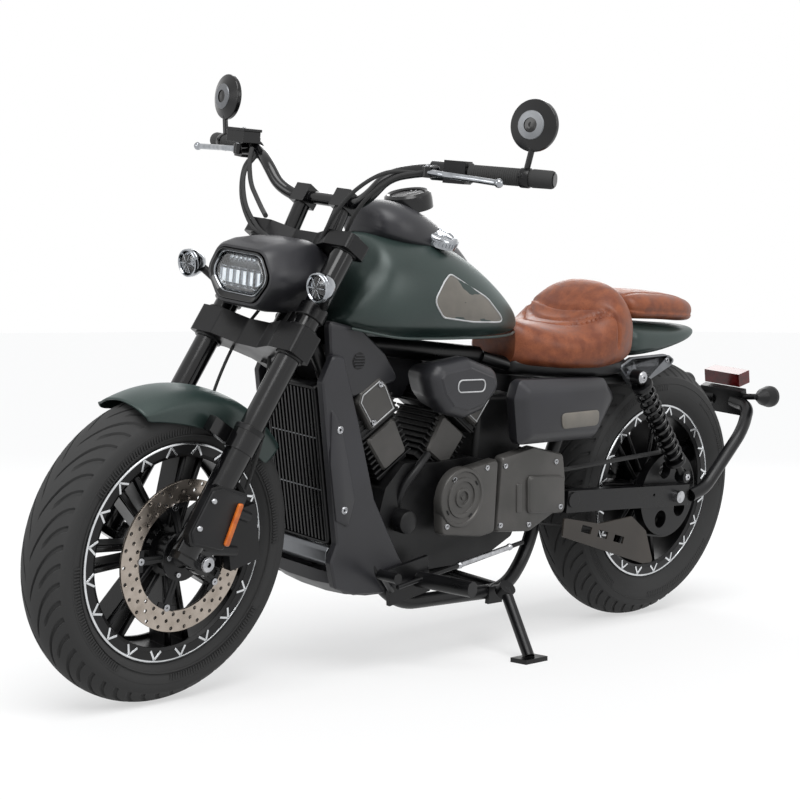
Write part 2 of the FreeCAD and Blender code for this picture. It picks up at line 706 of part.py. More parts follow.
def front_fender():
    inner = front_tyre_r + 12
    side_y = front_tyre_half + 8
    skin = 5
    half_in = [(244, side_y), (286, side_y - 1), (inner - 12, side_y - 16), (inner, side_y - 40)]
    half_out = [(inner + skin, side_y - 38), (inner - 8, side_y - 11), (286, side_y + skin - 1),
                (244, side_y + skin)]
    profile = [(r, -y) for r, y in reversed(half_out)] + half_out + half_in + \
        [(r, -y) for r, y in reversed(half_in)]
    first_angle, sweep = 66, 74
    turn = SIDEWAYS.multiply(Rotation(Vector(0, 0, 1), -first_angle - sweep))
    fender = turned("front_fender", profile, Placement(Vector(wheelbase, 0, front_tyre_r), turn), 0, sweep)
    finish("front_fender", fender, TURNED)


def fork_guards():
    guards = []
    for side, sign in SIDES:
        corners = [(14, 34), (96, 10), (112, 26), (114, 124), (96, 138), (22, 154)]
        stand = FORK.multiply(at(0, (tube_y + 24) * sign, 0))
        guards.append(prism("fork_guard_" + side, corners, 16, stand, 8))
    legs = [rod("guard_leg_" + side, fork_point(tube_offset, tube_y * sign, -40),
                fork_point(tube_offset, tube_y * sign, 240), slider_r) for side, sign in SIDES]
    eyes = [rod("guard_eye_" + side, (wheelbase, (tube_y - 16) * sign, front_tyre_r),
                (wheelbase, (tube_y + 40) * sign, front_tyre_r), 26) for side, sign in SIDES]
    finish("fork_guards", cut("fork_guards", together("guards_solid", guards), legs + eyes), TURNED)


def front_brake():
    centre = fork_point(axle_offset - 96, disc_y, 92)
    turn = FORK.Rotation.multiply(pitched(-44))
    body = block("caliper_body", centre, 78, 50, 118, turn)
    slot = turned("caliper_slot", [(60, -disc_wide / 2 - 2), (disc_r + 5, -disc_wide / 2 - 2),
                                   (disc_r + 5, disc_wide / 2 + 2), (60, disc_wide / 2 + 2)],
                  FRONT_AXLE.multiply(at(0, 0, disc_y)))
    arm = rod("caliper_arm", fork_point(-70, 92, 60), fork_point(52, 104, 12), 11)
    upper_arm = rod("caliper_upper_arm", fork_point(-60, 92, 130), fork_point(56, 104, 110), 11)
    legs = [rod("caliper_leg", fork_point(tube_offset, tube_y, -40),
                fork_point(tube_offset, tube_y, 240), slider_r),
            rod("caliper_eye", (wheelbase, 100, front_tyre_r), (wheelbase, 140, front_tyre_r), 24),
            fork_lug("caliper_lug", 1)]
    solid = fuse("caliper_solid", [body, arm, upper_arm])
    finish("front_caliper", cut("front_caliper", solid, [slot] + legs), TURNED)
    axle_end = tube_y + 16
    axle = rod("front_axle_bar", (wheelbase, -axle_end, front_tyre_r),
               (wheelbase, axle_end, front_tyre_r), axle_r)
    head = rod("front_axle_head", (wheelbase, axle_end - 3, front_tyre_r),
               (wheelbase, axle_end + 8, front_tyre_r), 15)
    spacers = [rod("front_spacer_" + side, (wheelbase, (disc_y + disc_wide / 2 + 0.5) * sign, front_tyre_r),
                   (wheelbase, (tube_y - 16) * sign, front_tyre_r), 13.5) for side, sign in SIDES]
    finish("front_axle", fuse("front_axle", [axle, head] + spacers), TURNED)


def brake_hose():
    route = [(1110, -236, 1082), (1134, -214, 1052), (1150, -186, 1010), (1176, -120, 968), (1216, -60, 955)]
    finish("brake_hose", bent_tube("brake_hose", route, 5), TURNED)


# ---------------------------------------------------------------- frame and running gear

pivot = Vector(395, 0, 345)
engine_pulley = (560, 352)
spool_at = Vector(90, 0, 334)


def frame():
    cradle = [(1170, 30, 752), (1112, 62, 620), (1050, 84, 400), (985, 96, 215), (900, 98, 150),
              (560, 94, 142), (462, 66, 220), (412, 60, 420), (340, 66, 600)]
    backbone = [(1150, 0, 742), (1000, 0, 700), (620, 0, 668)]
    rail = [(620, 16, 668), (520, 62, 640), (330, 70, 612), (190, 92, 618)]
    tubes = [bent_tube("backbone", backbone, 22)]
    for side, sign in SIDES:
        tubes.append(bent_tube("cradle_" + side, [(x, y * sign, z) for x, y, z in cradle], frame_tube_r))
        tubes.append(bent_tube("rail_" + side, [(x, y * sign, z) for x, y, z in rail], frame_tube_r - 2))
    head = rod("head_tube", fork_point(0, 0, lower_yoke_at + lower_yoke_tall / 2 + 2),
               fork_point(0, 0, upper_yoke_at - upper_yoke_tall / 2 - 2), head_tube_r)
    gusset = side_plate("head_gusset", [(1130, 700), (1180, 735), (1130, 830), (1090, 760)], -14, 14)
    cross = rod("pivot_cross", (pivot.x + 17, -60, 430), (pivot.x + 17, 60, 430), 14)
    low_cross = rod("low_cross", (570, -96, 142), (570, 96, 142), 14)
    front_cross = rod("front_cross", (1062, -84, 430), (1062, 84, 430), 12)
    bracket = block("stand_bracket", (610, 108, 140), 46, 10, 40)
    bore = rod("head_bore", fork_point(0, 0, 400), fork_point(0, 0, 760), stem_r + running_gap)
    solid = fuse("frame_solid", tubes + [head, gusset, cross, low_cross, front_cross, bracket])
    finish("frame", cut("frame", solid, [bore]), PARKED)


def swingarm():
    beams = []
    for side, sign in SIDES:
        y = swingarm_y * sign
        beams.append(block("swingarm_beam_" + side, ((pivot.x - 30) / 2, y, 333), pivot.x + 70, swingarm_wide,
                           swingarm_tall, pitched(2)))
    cross = block("swingarm_cross", (358, 0, 345), 22, swingarm_y * 2, 40)
    half = swingarm_y + 16
    tube = rod("swingarm_pivot", (pivot.x, -half, pivot.z), (pivot.x, half, pivot.z), 18)
    axle_hole = rod("swingarm_axle_hole", (0, -150, rear_tyre_r), (0, 150, rear_tyre_r), axle_r)
    spool_hole = rod("spool_hole", (spool_at.x, -150, spool_at.z), (spool_at.x, 150, spool_at.z), spool_r)
    solid = fuse("swingarm_solid", beams + [cross, tube])
    finish("swingarm", cut("swingarm", solid, [axle_hole, spool_hole]), PARKED)
    axle = rod("rear_axle_bar", (0, -swingarm_y - 20, rear_tyre_r), (0, swingarm_y + 20, rear_tyre_r), axle_r)
    nut = rod("rear_axle_nut", (0, swingarm_y + 12, rear_tyre_r), (0, swingarm_y + 26, rear_tyre_r), 15)
    finish("rear_axle", fuse("rear_axle", [axle, nut]), PARKED)


def rear_shocks():
    pieces = []
    for side, sign in SIDES:
        top, foot = Vector(215, shock_y * sign, 630), Vector(2, shock_y * sign, 378)
        along = foot.sub(top)
        unit = Vector(along).normalize()
        spring_top = top.add(Vector(unit).multiply(24))
        spring_end = top.add(Vector(unit).multiply(250))
        pieces += [rod("shock_rod_" + side, tuple(top), tuple(foot), 9),
                   rod("shock_spring_" + side, tuple(spring_top), tuple(spring_end), spring_r),
                   rod("shock_eye_top_" + side, (top.x, (shock_y - 14) * sign, top.z),
                       (top.x, (shock_y + 14) * sign, top.z), 17),
                   rod("shock_eye_foot_" + side, (foot.x, (shock_y - 14) * sign, foot.z),
                       (foot.x, (shock_y + 14) * sign, foot.z), 15)]
    finish("rear_shocks", fuse("rear_shocks", pieces), PARKED)


def belt_drive():
    body = new_body("drive_belt")
    sketch = sketch_on(body, "XZ_Plane")
    for grow in (4 + running_gap, running_gap):
        belt_loop(sketch, (0, rear_tyre_r, pulley_r + grow), engine_pulley + (small_pulley_r + grow,))
    add_pad(body, sketch, belt_wide)
    body.Placement = at(0, belt_y, 0)
    finish("drive_belt", body, PARKED)
    lower = side_plate("belt_guard_lower", [(80, 168), (120, 168), (430, 262), (430, 306), (300, 282),
                                            (180, 290), (120, 250)], 137, 142, 6)
    slots = [block("belt_guard_slot_%d" % n, (222 + 62 * n, 139, 238 + 17 * n), 38, 20, 17, pitched(15))
             for n in range(3)]
    finish("belt_guard", cut("belt_guard", lower, slots), PARKED)


def belt_loop(sketch, big, small):
    """A belt's outline round two pulleys given as (x, z, radius)."""
    (x1, z1, r1), (x2, z2, r2) = big, small
    gap = math.hypot(x2 - x1, z2 - z1)
    heading = math.atan2(z2 - z1, x2 - x1)
    spread = math.acos((float(r1) - float(r2)) / gap)
    marks = []
    for x, z, radius, first, last in ((x1, z1, r1, heading + spread, heading - spread),
                                      (x2, z2, r2, heading - spread, heading + spread)):
        circle = Part.Circle(Vector(float(x), float(z)), Vector(0, 0, 1), float(radius))
        index = sketch.addGeometry(Part.ArcOfCircle(circle, first, last))
        for kind, value in (("DistanceX", x), ("DistanceY", z)):
            rule = sketch.addConstraint(Sketcher.Constraint(kind, index, 3, float(value)))
            if isinstance(value, Size):
                sketch.setExpression("Constraints[%d]" % rule, value.formula)
        hold(sketch, "Radius", index, radius)
        marks.append(index)
    for start, end in ((marks[0], marks[1]), (marks[1], marks[0])):
        a = sketch.Geometry[start].EndPoint
        b = sketch.Geometry[end].StartPoint
        line = sketch.addGeometry(Part.LineSegment(a, b))
        sketch.addConstraint(Sketcher.Constraint("Tangent", start, 2, line, 1))
        sketch.addConstraint(Sketcher.Constraint("Tangent", line, 2, end, 1))


# ---------------------------------------------------------------- engine

crank = Vector(857, 0, 361)


def along_cylinder(sign, distance, side=0):
    """A place in the plane of the cylinders: distance out from the crank, side to the front."""
    angle = math.radians(cylinder_angle) * sign
    x = crank.x + distance * math.sin(angle) + side * math.cos(angle)
    return x, crank.z + distance * math.cos(angle) - side * math.sin(angle)


def cylinder(name, sign):
    pieces = []
    for part, near, far, deep, wide in (("barrel", 96, 206, 96, cylinder_across - 40),
                                        ("head", 206, 322, 116, cylinder_across),
                                        ("plate", 226, 316, 86, cylinder_across + 36)):
        x, z = along_cylinder(sign, (near + far) / 2)
        pieces.append(block("%s_%s" % (name, part), (x, 0, z), deep, wide, far - near,
                            Rotation(Vector(0, 1, 0), cylinder_angle * sign)))
    fins = []
    for number in range(5):
        x, z = along_cylinder(sign, 112 + 18 * number)
        fins.append(block("%s_fin_%d" % (name, number), (x, 0, z), 112, cylinder_across - 20, 5,
                          Rotation(Vector(0, 1, 0), cylinder_angle * sign)))
    return fuse(name, pieces + fins)


def cylinders():
    pair = [cylinder("front_cylinder", 1), cylinder("rear_cylinder", -1)]
    finish("cylinders", together("cylinders", pair), PARKED)


def crankcase():
    corners = [(930, 232), (968, 320), (950, 400), (900, 452), (800, 448), (700, 455), (560, 430), (500, 350),
               (540, 262), (640, 214), (840, 210)]
    case = side_plate("crankcase_block", corners, -engine_half, engine_half, 12)
    x, z = engine_pulley
    pulley = rod("engine_pulley", (x, engine_half - 6, z), (x, belt_y + belt_wide / 2, z), small_pulley_r)
    finish("crankcase", fuse("crankcase", [case, pulley]), PARKED)


def engine_covers():
    cover_in = belt_y + belt_wide / 2 + 4
    outline_left = [(828, 300), (838, 380), (800, 437), (660, 462), (548, 481), (441, 459), (425, 395),
                    (456, 315), (537, 280), (700, 284)]
    left = side_plate("left_cover_plate", outline_left, cover_in, cover_in + cover_thick, 14)
    root = side_plate("left_cover_root", [(640, 290), (820, 304), (828, 380), (796, 430), (640, 454)],
                      engine_half, cover_in, 10)
    drum = rod("left_cover_drum", (773, 120, 379), (773, 146, 379), 64)
    bulge = side_plate("left_cover_bulge", [(568, 417), (440, 408), (427, 318), (555, 324)][::-1],
                       cover_in + 6, cover_in + cover_thick + 8, 12)
    left_cover = fuse("left_engine_cover", [left, root, drum, bulge])
    outline_right = [(900, 280), (915, 380), (850, 440), (700, 450), (640, 380), (660, 290), (780, 250)]
    right = side_plate("right_cover_plate", outline_right, -engine_half - 40, -engine_half, 14)
    drum = rod("right_cover_drum", (800, -120, 350), (800, -146, 350), 72)
    right_cover = fuse("right_engine_cover", [right, drum])
    finish("engine_covers", together("engine_covers", [left_cover, right_cover]), PARKED)


def intake_cover():
    corners = [(909, 646), (888, 673), (799, 686), (711, 659), (697, 619), (744, 568), (798, 553), (854, 566),
               (888, 599)]
    cover = side_plate("intake_cover_plate", corners, 112, 160, 10)
    box = block("intake_box", (802, 0, 618), 60, 224, 80)
    finish("intake_cover", fuse("intake_cover", [cover, box]), PARKED)


def exhaust():
    """Two headers on the right that join into one silencer."""
    front = [(1030, -70, 585), (1034, -112, 556), (1012, -136, 490), (966, -142, 360), (880, -150, 270),
             (780, -152, 238), (690, -152, 232)]
    rear = [(690, -70, 585), (674, -112, 556), (654, -138, 500), (640, -150, 400), (632, -152, 300),
            (620, -152, 240)]
    start, end = Vector(730, -151, 230), Vector(-40, -172, 270)
    length = end.distanceToPoint(start)
    profile = [(0, 0), (24, 0), (silencer_r, 80), (silencer_r, length - 80), (silencer_r - 14, length),
               (0, length)]
    silencer = turned("silencer", profile, Placement(start, Rotation(Vector(0, 0, 1), end.sub(start))))
    headers = [bent_tube("front_header", front, 20), bent_tube("rear_header", rear, 20)]
    finish("exhaust", fuse("exhaust", headers + [silencer]), PARKED)


def radiator():
    tilt = Rotation(Vector(0, 1, 0), 12.4)
    core = block("radiator", (1118, 0, 462), radiator_deep, radiator_wide, radiator_tall, tilt)
    finish("radiator", core, PARKED)
    side_corners = [(1044, 186), (1108, 214), (1122, 262), (1108, 300), (1178, 636), (1150, 690), (1122, 690),
                    (1070, 560), (1006, 387), (925, 262), (886, 212), (890, 176)]
    walls = [side_plate("shroud_wall_" + side, side_corners, *sorted((sign * 98.0, sign * 110.0)), 10)
             for side, sign in SIDES]
    chin = block("shroud_chin", (1000, 0, 184), 190, 218, 12)
    lip = block("shroud_lip", (1108, 0, 250), 16, 200, 70, Rotation(Vector(0, 1, 0), -12))
    finish("radiator_shroud", fuse("radiator_shroud", walls + [chin, lip]), PARKED)


def neck_covers():
    corners = [(1134, 655), (1150, 760), (1057, 740), (987, 690), (942, 634), (1071, 600)]
    covers = [side_plate("neck_cover_" + side, corners, *sorted((sign * 81.0, sign * 95.0)), 12)
              for side, sign in SIDES]
    finish("neck_covers", together("neck_covers", covers), PARKED)


# ---------------------------------------------------------------- tank, seats and bodywork

def fuel_tank():
    stations = [
        (station(1118, 742, 31), [(56, 0), (92, 34), (84, 124), (38, 158)]),
        (station(1010), [(92, 722), (136, 768), (122, 868), (50, 930)]),
        (station(900), [(108, 716), (tank_half, 772), (132, 872), (54, 952)]),
        (station(760), [(100, 716), (tank_half - 6, 762), (116, 846), (48, 908)]),
        (station(640), [(78, 716), (112, 742), (92, 806), (40, 842)]),
        (station(560), [(46, 724), (66, 738), (58, 768), (26, 786)])]
    tank = loft("tank_skin", stations, 18)
    finish("fuel_tank", tank, PARKED)


def tank_console():
    stations = [
        (station(1000), [(40, 925), (64, 935), (58, 975), (30, 994)]),
        (station(950), [(74, 915), (92, 930), (80, 984), (36, 1006)]),
        (station(820), [(66, 885), (80, 905), (70, 952), (30, 974)]),
        (station(680), [(24, 830), (32, 840), (28, 874), (12, 890)])]
    console = loft("tank_console", stations, 5)
    finish("tank_console", console, PARKED)


def instrument():
    pod = turned("instrument", [(0, -6), (50, -6, 3), (50, 6, 3), (34, 26, 10), (0, 34)],
                 Placement(Vector(868, 0, 992), pitched(-16)))
    finish("instrument", pod, PARKED)
    cap = turned("fuel_cap", [(0, -12), (cap_r, -12), (cap_r, 4, 2), (cap_r - 10, 10, 2), (0, 10)],
                 Placement(Vector(846, 78, 934), Rotation(Vector(1, 0, 0), -24)))
    finish("fuel_cap", cap, PARKED)


def seats():
    rider = [
        (station(560), [(66, 656), (78, 690), (60, 752), (30, 766)]),
        (station(480), [(112, 652), (126, 690), (100, 738), (50, 752)]),
        (station(380), [(134, 646), (seat_half, 690), (122, 748), (60, 758)]),
        (station(290), [(132, 644), (seat_half - 4, 700), (120, 790), (60, 812)]),
        (station(210), [(110, 650), (122, 700), (110, 800), (60, 830)])]
    finish("rider_seat", loft("rider_seat", rider, 12), PARKED)
    pillion = [
        (station(176), [(74, 762), (pad_half - 4, 776), (80, 808), (40, 818)]),
        (station(60), [(80, 756), (pad_half, 772), (82, 808), (40, 820)]),
        (station(-86), [(56, 748), (70, 762), (62, 790), (30, 800)])]
    finish("pillion_seat", loft("pillion_seat", pillion, 10), PARKED)


def tail_cowl():
    stations = [
        (station(196), [(70, 664), (104, 690), (98, 748), (50, 752)]),
        (station(60), [(70, 672), (98, 690), (94, 742), (50, 750)]),
        (station(-60), [(60, 700), (82, 710), (78, 738), (44, 744)]),
        (station(-108), [(44, 722), (58, 728), (56, 738), (34, 742)])]
    finish("tail_cowl", loft("tail_cowl", stations, 5), PARKED)
    bracket = [(168, 604), (206, 606), (262, 656), (210, 672), (70, 676), (46, 664), (60, 650)]
    struts = [side_plate("fender_strut_" + side, bracket, *sorted((sign * 110.0, sign * 122.0)), 6)
              for side, sign in SIDES]
    struts += [rod("shock_boss_" + side, (215, 110 * sign, 630), (215, (shock_y - 14) * sign, 630), 13)
               for side, sign in SIDES]
    finish("fender_struts", fuse("fender_struts", struts), PARKED)


def side_covers():
    corners = [(624, 632), (334, 630), (292, 588), (352, 490), (612, 486), (636, 590)]
    covers = [side_plate("side_cover_" + side, corners, *sorted((sign * 112.0, sign * 162.0)), 16)
              for side, sign in SIDES]
    finish("side_covers", together("side_covers", covers), PARKED)


def rear_end():
    """A tube on each side carries the number plate and rear lights behind the tyre."""
    arms = []
    for side, sign in SIDES:
        arms.append(bent_tube("plate_arm_" + side, [(-60, 132 * sign, 322), (-112, 134 * sign, 336),
                                                    (-262, 128 * sign, 478), (-330, 92 * sign, 530),
                                                    (-348, 30 * sign, 536)], 16))
    bridge = block("plate_bridge", (-352, 0, 536), 22, 130, 70, pitched(-20))
    finish("plate_holder", fuse("plate_holder", arms + [bridge]), PARKED)
    lamp = block("tail_lamp", (-352, 0, 598), 46, 110, 34, pitched(-14))
    finish("tail_lamp", lamp, PARKED)
    pods = []
    teardrop = [(0, -4), (27, -4, 3), (28, 8, 3), (22, 34, 8), (7, 62, 4), (0, 64)]
    forward = Rotation(Vector(0, 0, 1), Vector(1, 0, 0))
    for side, sign in SIDES:
        pods.append(turned("rear_indicator_pod_" + side, teardrop,
                           Placement(Vector(-362, 134 * sign, 562), forward)))
        pods.append(rod("rear_indicator_stalk_" + side, (-344, 66 * sign, 552),
                        (-344, 124 * sign, 560), 8))
    finish("rear_indicators", fuse("rear_indicators", pods), PARKED)


def foot_controls():
    pieces = []
    for side, sign in SIDES:
        pieces += [block("peg_plate_" + side, (900, 118 * sign, 205), 120, 10, 80, pitched(-10)),
                   rod("peg_" + side, (870, 122 * sign, 205), (850, 262 * sign, 212), 17),
                   rod("pedal_" + side, (950, 122 * sign, 190), (1010, 150 * sign, 236), 7),
                   rod("pedal_pad_" + side, (1010, 146 * sign, 236), (1010, 200 * sign, 238), 11)]
    pieces.append(rod("shift_rod", (950, 140, 200), (566, 140, 262), 5))
    finish("foot_controls", fuse("foot_controls", pieces), PARKED)


def rear_brake():
    body = block("rear_caliper", (70, -(rear_hub_half + 4), 430), 84, 36, 50, pitched(40))
    slot = turned("rear_caliper_slot", [(50, -disc_wide / 2 - 1.5), (rear_disc_r + 4, -disc_wide / 2 - 1.5),
                                        (rear_disc_r + 4, disc_wide / 2 + 1.5), (50, disc_wide / 2 + 1.5)],
                  REAR_AXLE.multiply(at(0, 0, -(rear_hub_half + disc_wide / 2))))
    finish("rear_caliper", cut("rear_caliper_cut", body, [slot]), PARKED)


# ---------------------------------------------------------------- side stand

stand_pivot = Vector(610, 140, 156)
stand_foot = Vector(652, 268, 0)


def side_stand():
    to_upright = PARKED.inverse()
    foot_world = PARKED.multVec(stand_foot)
    foot_place = to_upright.multiply(Placement(Vector(foot_world.x, foot_world.y, 5), FLAT))
    pad = doc.addObject("Part::Box", "stand_pad")
    bind(pad, Length=70, Width=46, Height=10)
    pad.Placement = foot_place.multiply(at(-35, -23, -5))
    ankle = foot_place.multVec(Vector(0, 0, 4))
    leg = rod("stand_leg", tuple(stand_pivot), tuple(ankle), 13)
    half_pin = Vector(0, 7, 9)
    eye = rod("stand_eye", tuple(stand_pivot.sub(half_pin)), tuple(stand_pivot.add(half_pin)), 20)
    finish("side_stand", fuse("side_stand", [leg, eye, pad]), PARKED)


# ---------------------------------------------------------------- build and write

GIVES_WAY = (
    ("cylinders", ("frame", "crankcase")),
    ("rear_caliper", ("swingarm",)),
    ("engine_covers", ("frame",)),
    ("radiator_shroud", ("frame", "radiator")),
    ("neck_covers", ("cylinders", "frame", "fuel_tank")),
    ("fuel_tank", ("frame", "fuel_cap")),
    ("tank_console", ("fuel_tank", "fuel_cap", "frame")),
    ("instrument", ("tank_console",)),
    ("intake_cover", ("cylinders", "frame")),
    ("exhaust", ("cylinders",)),
    ("rider_seat", ("frame", "fuel_tank")),
    ("fender_struts", ("rider_seat", "tail_cowl", "frame")),
    ("tail_cowl", ("frame", "rider_seat")),
    ("foot_controls", ("frame", "radiator_shroud")),
    ("crankcase", ("frame",)),
    ("swingarm", ("frame",)),
    ("plate_holder", ("swingarm",)),
    ("tail_lamp", ("plate_holder",)),
    ("rear_indicators", ("plate_holder",)),
    ("headlight_cowl", ("fork_legs", "fork_yokes", "front_indicators")),
    ("handlebar", ("fork_yokes",)),
    ("mirrors", ("grips",)),
    ("levers", ("handlebar", "switch_housings")),
    ("front_caliper", ("front_axle", "fork_legs")),
    ("fork_guards", ("front_axle",)),
)


def give_way():
    """Where pieces of one body would share space, the first is trimmed to the others."""
    whole = {label: obj for label, (obj, _) in nodes.items()}
    for label, others in GIVES_WAY:
        obj, stand = nodes[label]
        nodes[label] = (cut(label + "_trimmed", obj, [whole[other] for other in others]), stand)


def build():
    wheels()
    rear_pulley()
    for make in (fork_legs, mirrors, cylinders, fork_yokes, handlebar, hand_controls, headlight,
                 front_indicators, front_fender, fork_guards, front_brake, brake_hose, frame, swingarm,
                 rear_shocks, belt_drive, crankcase, engine_covers,
                 intake_cover, exhaust, radiator, neck_covers, fuel_tank, tank_console, instrument, seats,
                 tail_cowl, side_covers, rear_end, foot_controls, rear_brake, side_stand):
        make()
    give_way()
    for label, (obj, stand) in list(nodes.items()):
        parked = together(label + "_parked", [obj])
        parked.Label = label
        parked.Placement = stand
        nodes[label] = (parked, stand)
    doc.recompute()


def check():
    for obj in doc.Objects:
        if "Invalid" in obj.State or "Error" in obj.State:
            raise RuntimeError("%s did not build: %s" % (obj.Name, obj.State))
    for label, (obj, _) in nodes.items():
        if obj.Shape.isNull() or not obj.Shape.isValid() or not obj.Shape.Solids:
            raise RuntimeError("%s has no valid solid" % label)


def write():
    os.makedirs("parts", exist_ok=True)
    for label, (obj, _) in nodes.items():
        obj.Shape.exportStep(os.path.join("parts", label + ".step"))


build()
check()
write()
box = FreeCAD.BoundBox()
for part, _ in nodes.values():
    box.add(part.Shape.BoundBox)
print("nodes", len(nodes), "box", box)
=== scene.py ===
"""Looks of a cruiser motorcycle with a V-twin engine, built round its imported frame.

Shapes are given in the machine's own millimetres, upright: X forward from the rear axle, Y to the
rider's left, Z up from the ground. PARKED and TURNED stand them where the frame does.
"""
import json
import math

import bmesh
import bpy
from bpy.props import FloatProperty, IntProperty, PointerProperty, StringProperty
from bpy.types import Operator, Panel, PropertyGroup
from mathutils import Matrix, Vector


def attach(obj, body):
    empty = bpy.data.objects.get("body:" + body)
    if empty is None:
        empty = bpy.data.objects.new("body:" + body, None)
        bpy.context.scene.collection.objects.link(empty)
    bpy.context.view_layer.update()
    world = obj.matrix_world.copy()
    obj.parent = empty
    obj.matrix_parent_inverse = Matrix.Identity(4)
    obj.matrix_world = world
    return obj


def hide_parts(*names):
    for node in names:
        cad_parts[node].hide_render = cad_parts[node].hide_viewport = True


bl_info = {
    "name": "Cruiser Motorcycle",
    "version": (1, 0, 0),
    "blender": (4, 5, 0),
    "location": "View3D > Sidebar > Motorcycle",
    "description": "Builds the finishes and soft parts of a parked cruiser motorcycle",
    "category": "Object",
}

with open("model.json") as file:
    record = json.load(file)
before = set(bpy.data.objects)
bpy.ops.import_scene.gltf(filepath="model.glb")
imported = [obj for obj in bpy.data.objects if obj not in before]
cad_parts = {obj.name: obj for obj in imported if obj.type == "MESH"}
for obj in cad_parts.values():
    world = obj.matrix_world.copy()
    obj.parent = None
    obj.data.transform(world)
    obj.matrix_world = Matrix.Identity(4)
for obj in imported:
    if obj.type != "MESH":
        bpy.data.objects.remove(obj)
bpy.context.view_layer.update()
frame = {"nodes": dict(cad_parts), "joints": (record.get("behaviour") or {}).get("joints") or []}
NODES = frame["nodes"]
JOINTS = {joint["name"]: joint for joint in frame["joints"]}
SIDES = (1, -1)
MERGE_GAP = 0.00002

# ---------------------------------------------------------------- places

RAKE = math.radians(31)
STEER = math.radians(3.5)
WHEELBASE = 1472
FRONT_R = 307
REAR_R = 325
AXLE_OFFSET = 25
TUBE_AHEAD = 68
TUBE_OUT = 120
BEAD_R = 216
CRANK = Vector((857, 0, 361))
CYLINDER_LEAN = math.radians(33.5)


def parked_place():
    """Turns upright millimetres into the leaning frame, from the directions of two joints."""
    left = Vector(JOINTS["rear_wheel_spin"]["axis"])
    axis = Vector(JOINTS["steering"]["axis"])
    across = left.cross(axis)
    ahead = math.cos(RAKE) * across - math.sin(RAKE) * axis
    up = math.sin(RAKE) * across + math.cos(RAKE) * axis
    origin = Vector(JOINTS["rear_wheel_spin"]["pos_m"]) - up * REAR_R / 1000
    place = Matrix((ahead, left, up)).transposed().to_4x4() * 0.001
    place.translation = origin
    place[3][3] = 1
    return place


def turned_place():
    """As parked, with the steering's small turn to the left."""
    pivot = Vector(JOINTS["steering"]["pos_m"])
    turn = Matrix.Rotation(STEER, 4, Vector(JOINTS["steering"]["axis"]))
    return Matrix.Translation(pivot) @ turn @ Matrix.Translation(-pivot) @ parked_place()


PARKED = parked_place()
TURNED = turned_place()
FORK_FOOT = (WHEELBASE - AXLE_OFFSET * math.cos(RAKE), 0, FRONT_R - AXLE_OFFSET * math.sin(RAKE))
FORK = Matrix.Translation(FORK_FOOT) @ Matrix.Rotation(-RAKE, 4, "Y")
SIDEWAYS = Matrix.Rotation(math.radians(-90), 4, "X")
FRONT_AXLE = Matrix.Translation((WHEELBASE, 0, FRONT_R)) @ SIDEWAYS
REAR_AXLE = Matrix.Translation((0, 0, REAR_R)) @ SIDEWAYS


def fork_point(ahead, left, along):
    return FORK @ Vector((ahead, left, along))


def aimed(position, direction):
    """A place whose own Z points in a direction."""
    return Matrix.Translation(position) @ Vector(direction).to_track_quat("Z", "Y").to_matrix().to_4x4()


def sideways(x, y, z, sign):
    """A place whose own Z points to the rider's left, or to the right for a sign of -1."""
    return aimed((x, y, z), (0, sign, 0))


def turns(place, count, start=0.0):
    """A place turned about its own Z in equal steps of a whole turn."""
    angles = (2 * math.pi * (number + start) / count for number in range(count))
    return [place @ Matrix.Rotation(angle, 4, "Z") for angle in angles]


# ---------------------------------------------------------------- shapes

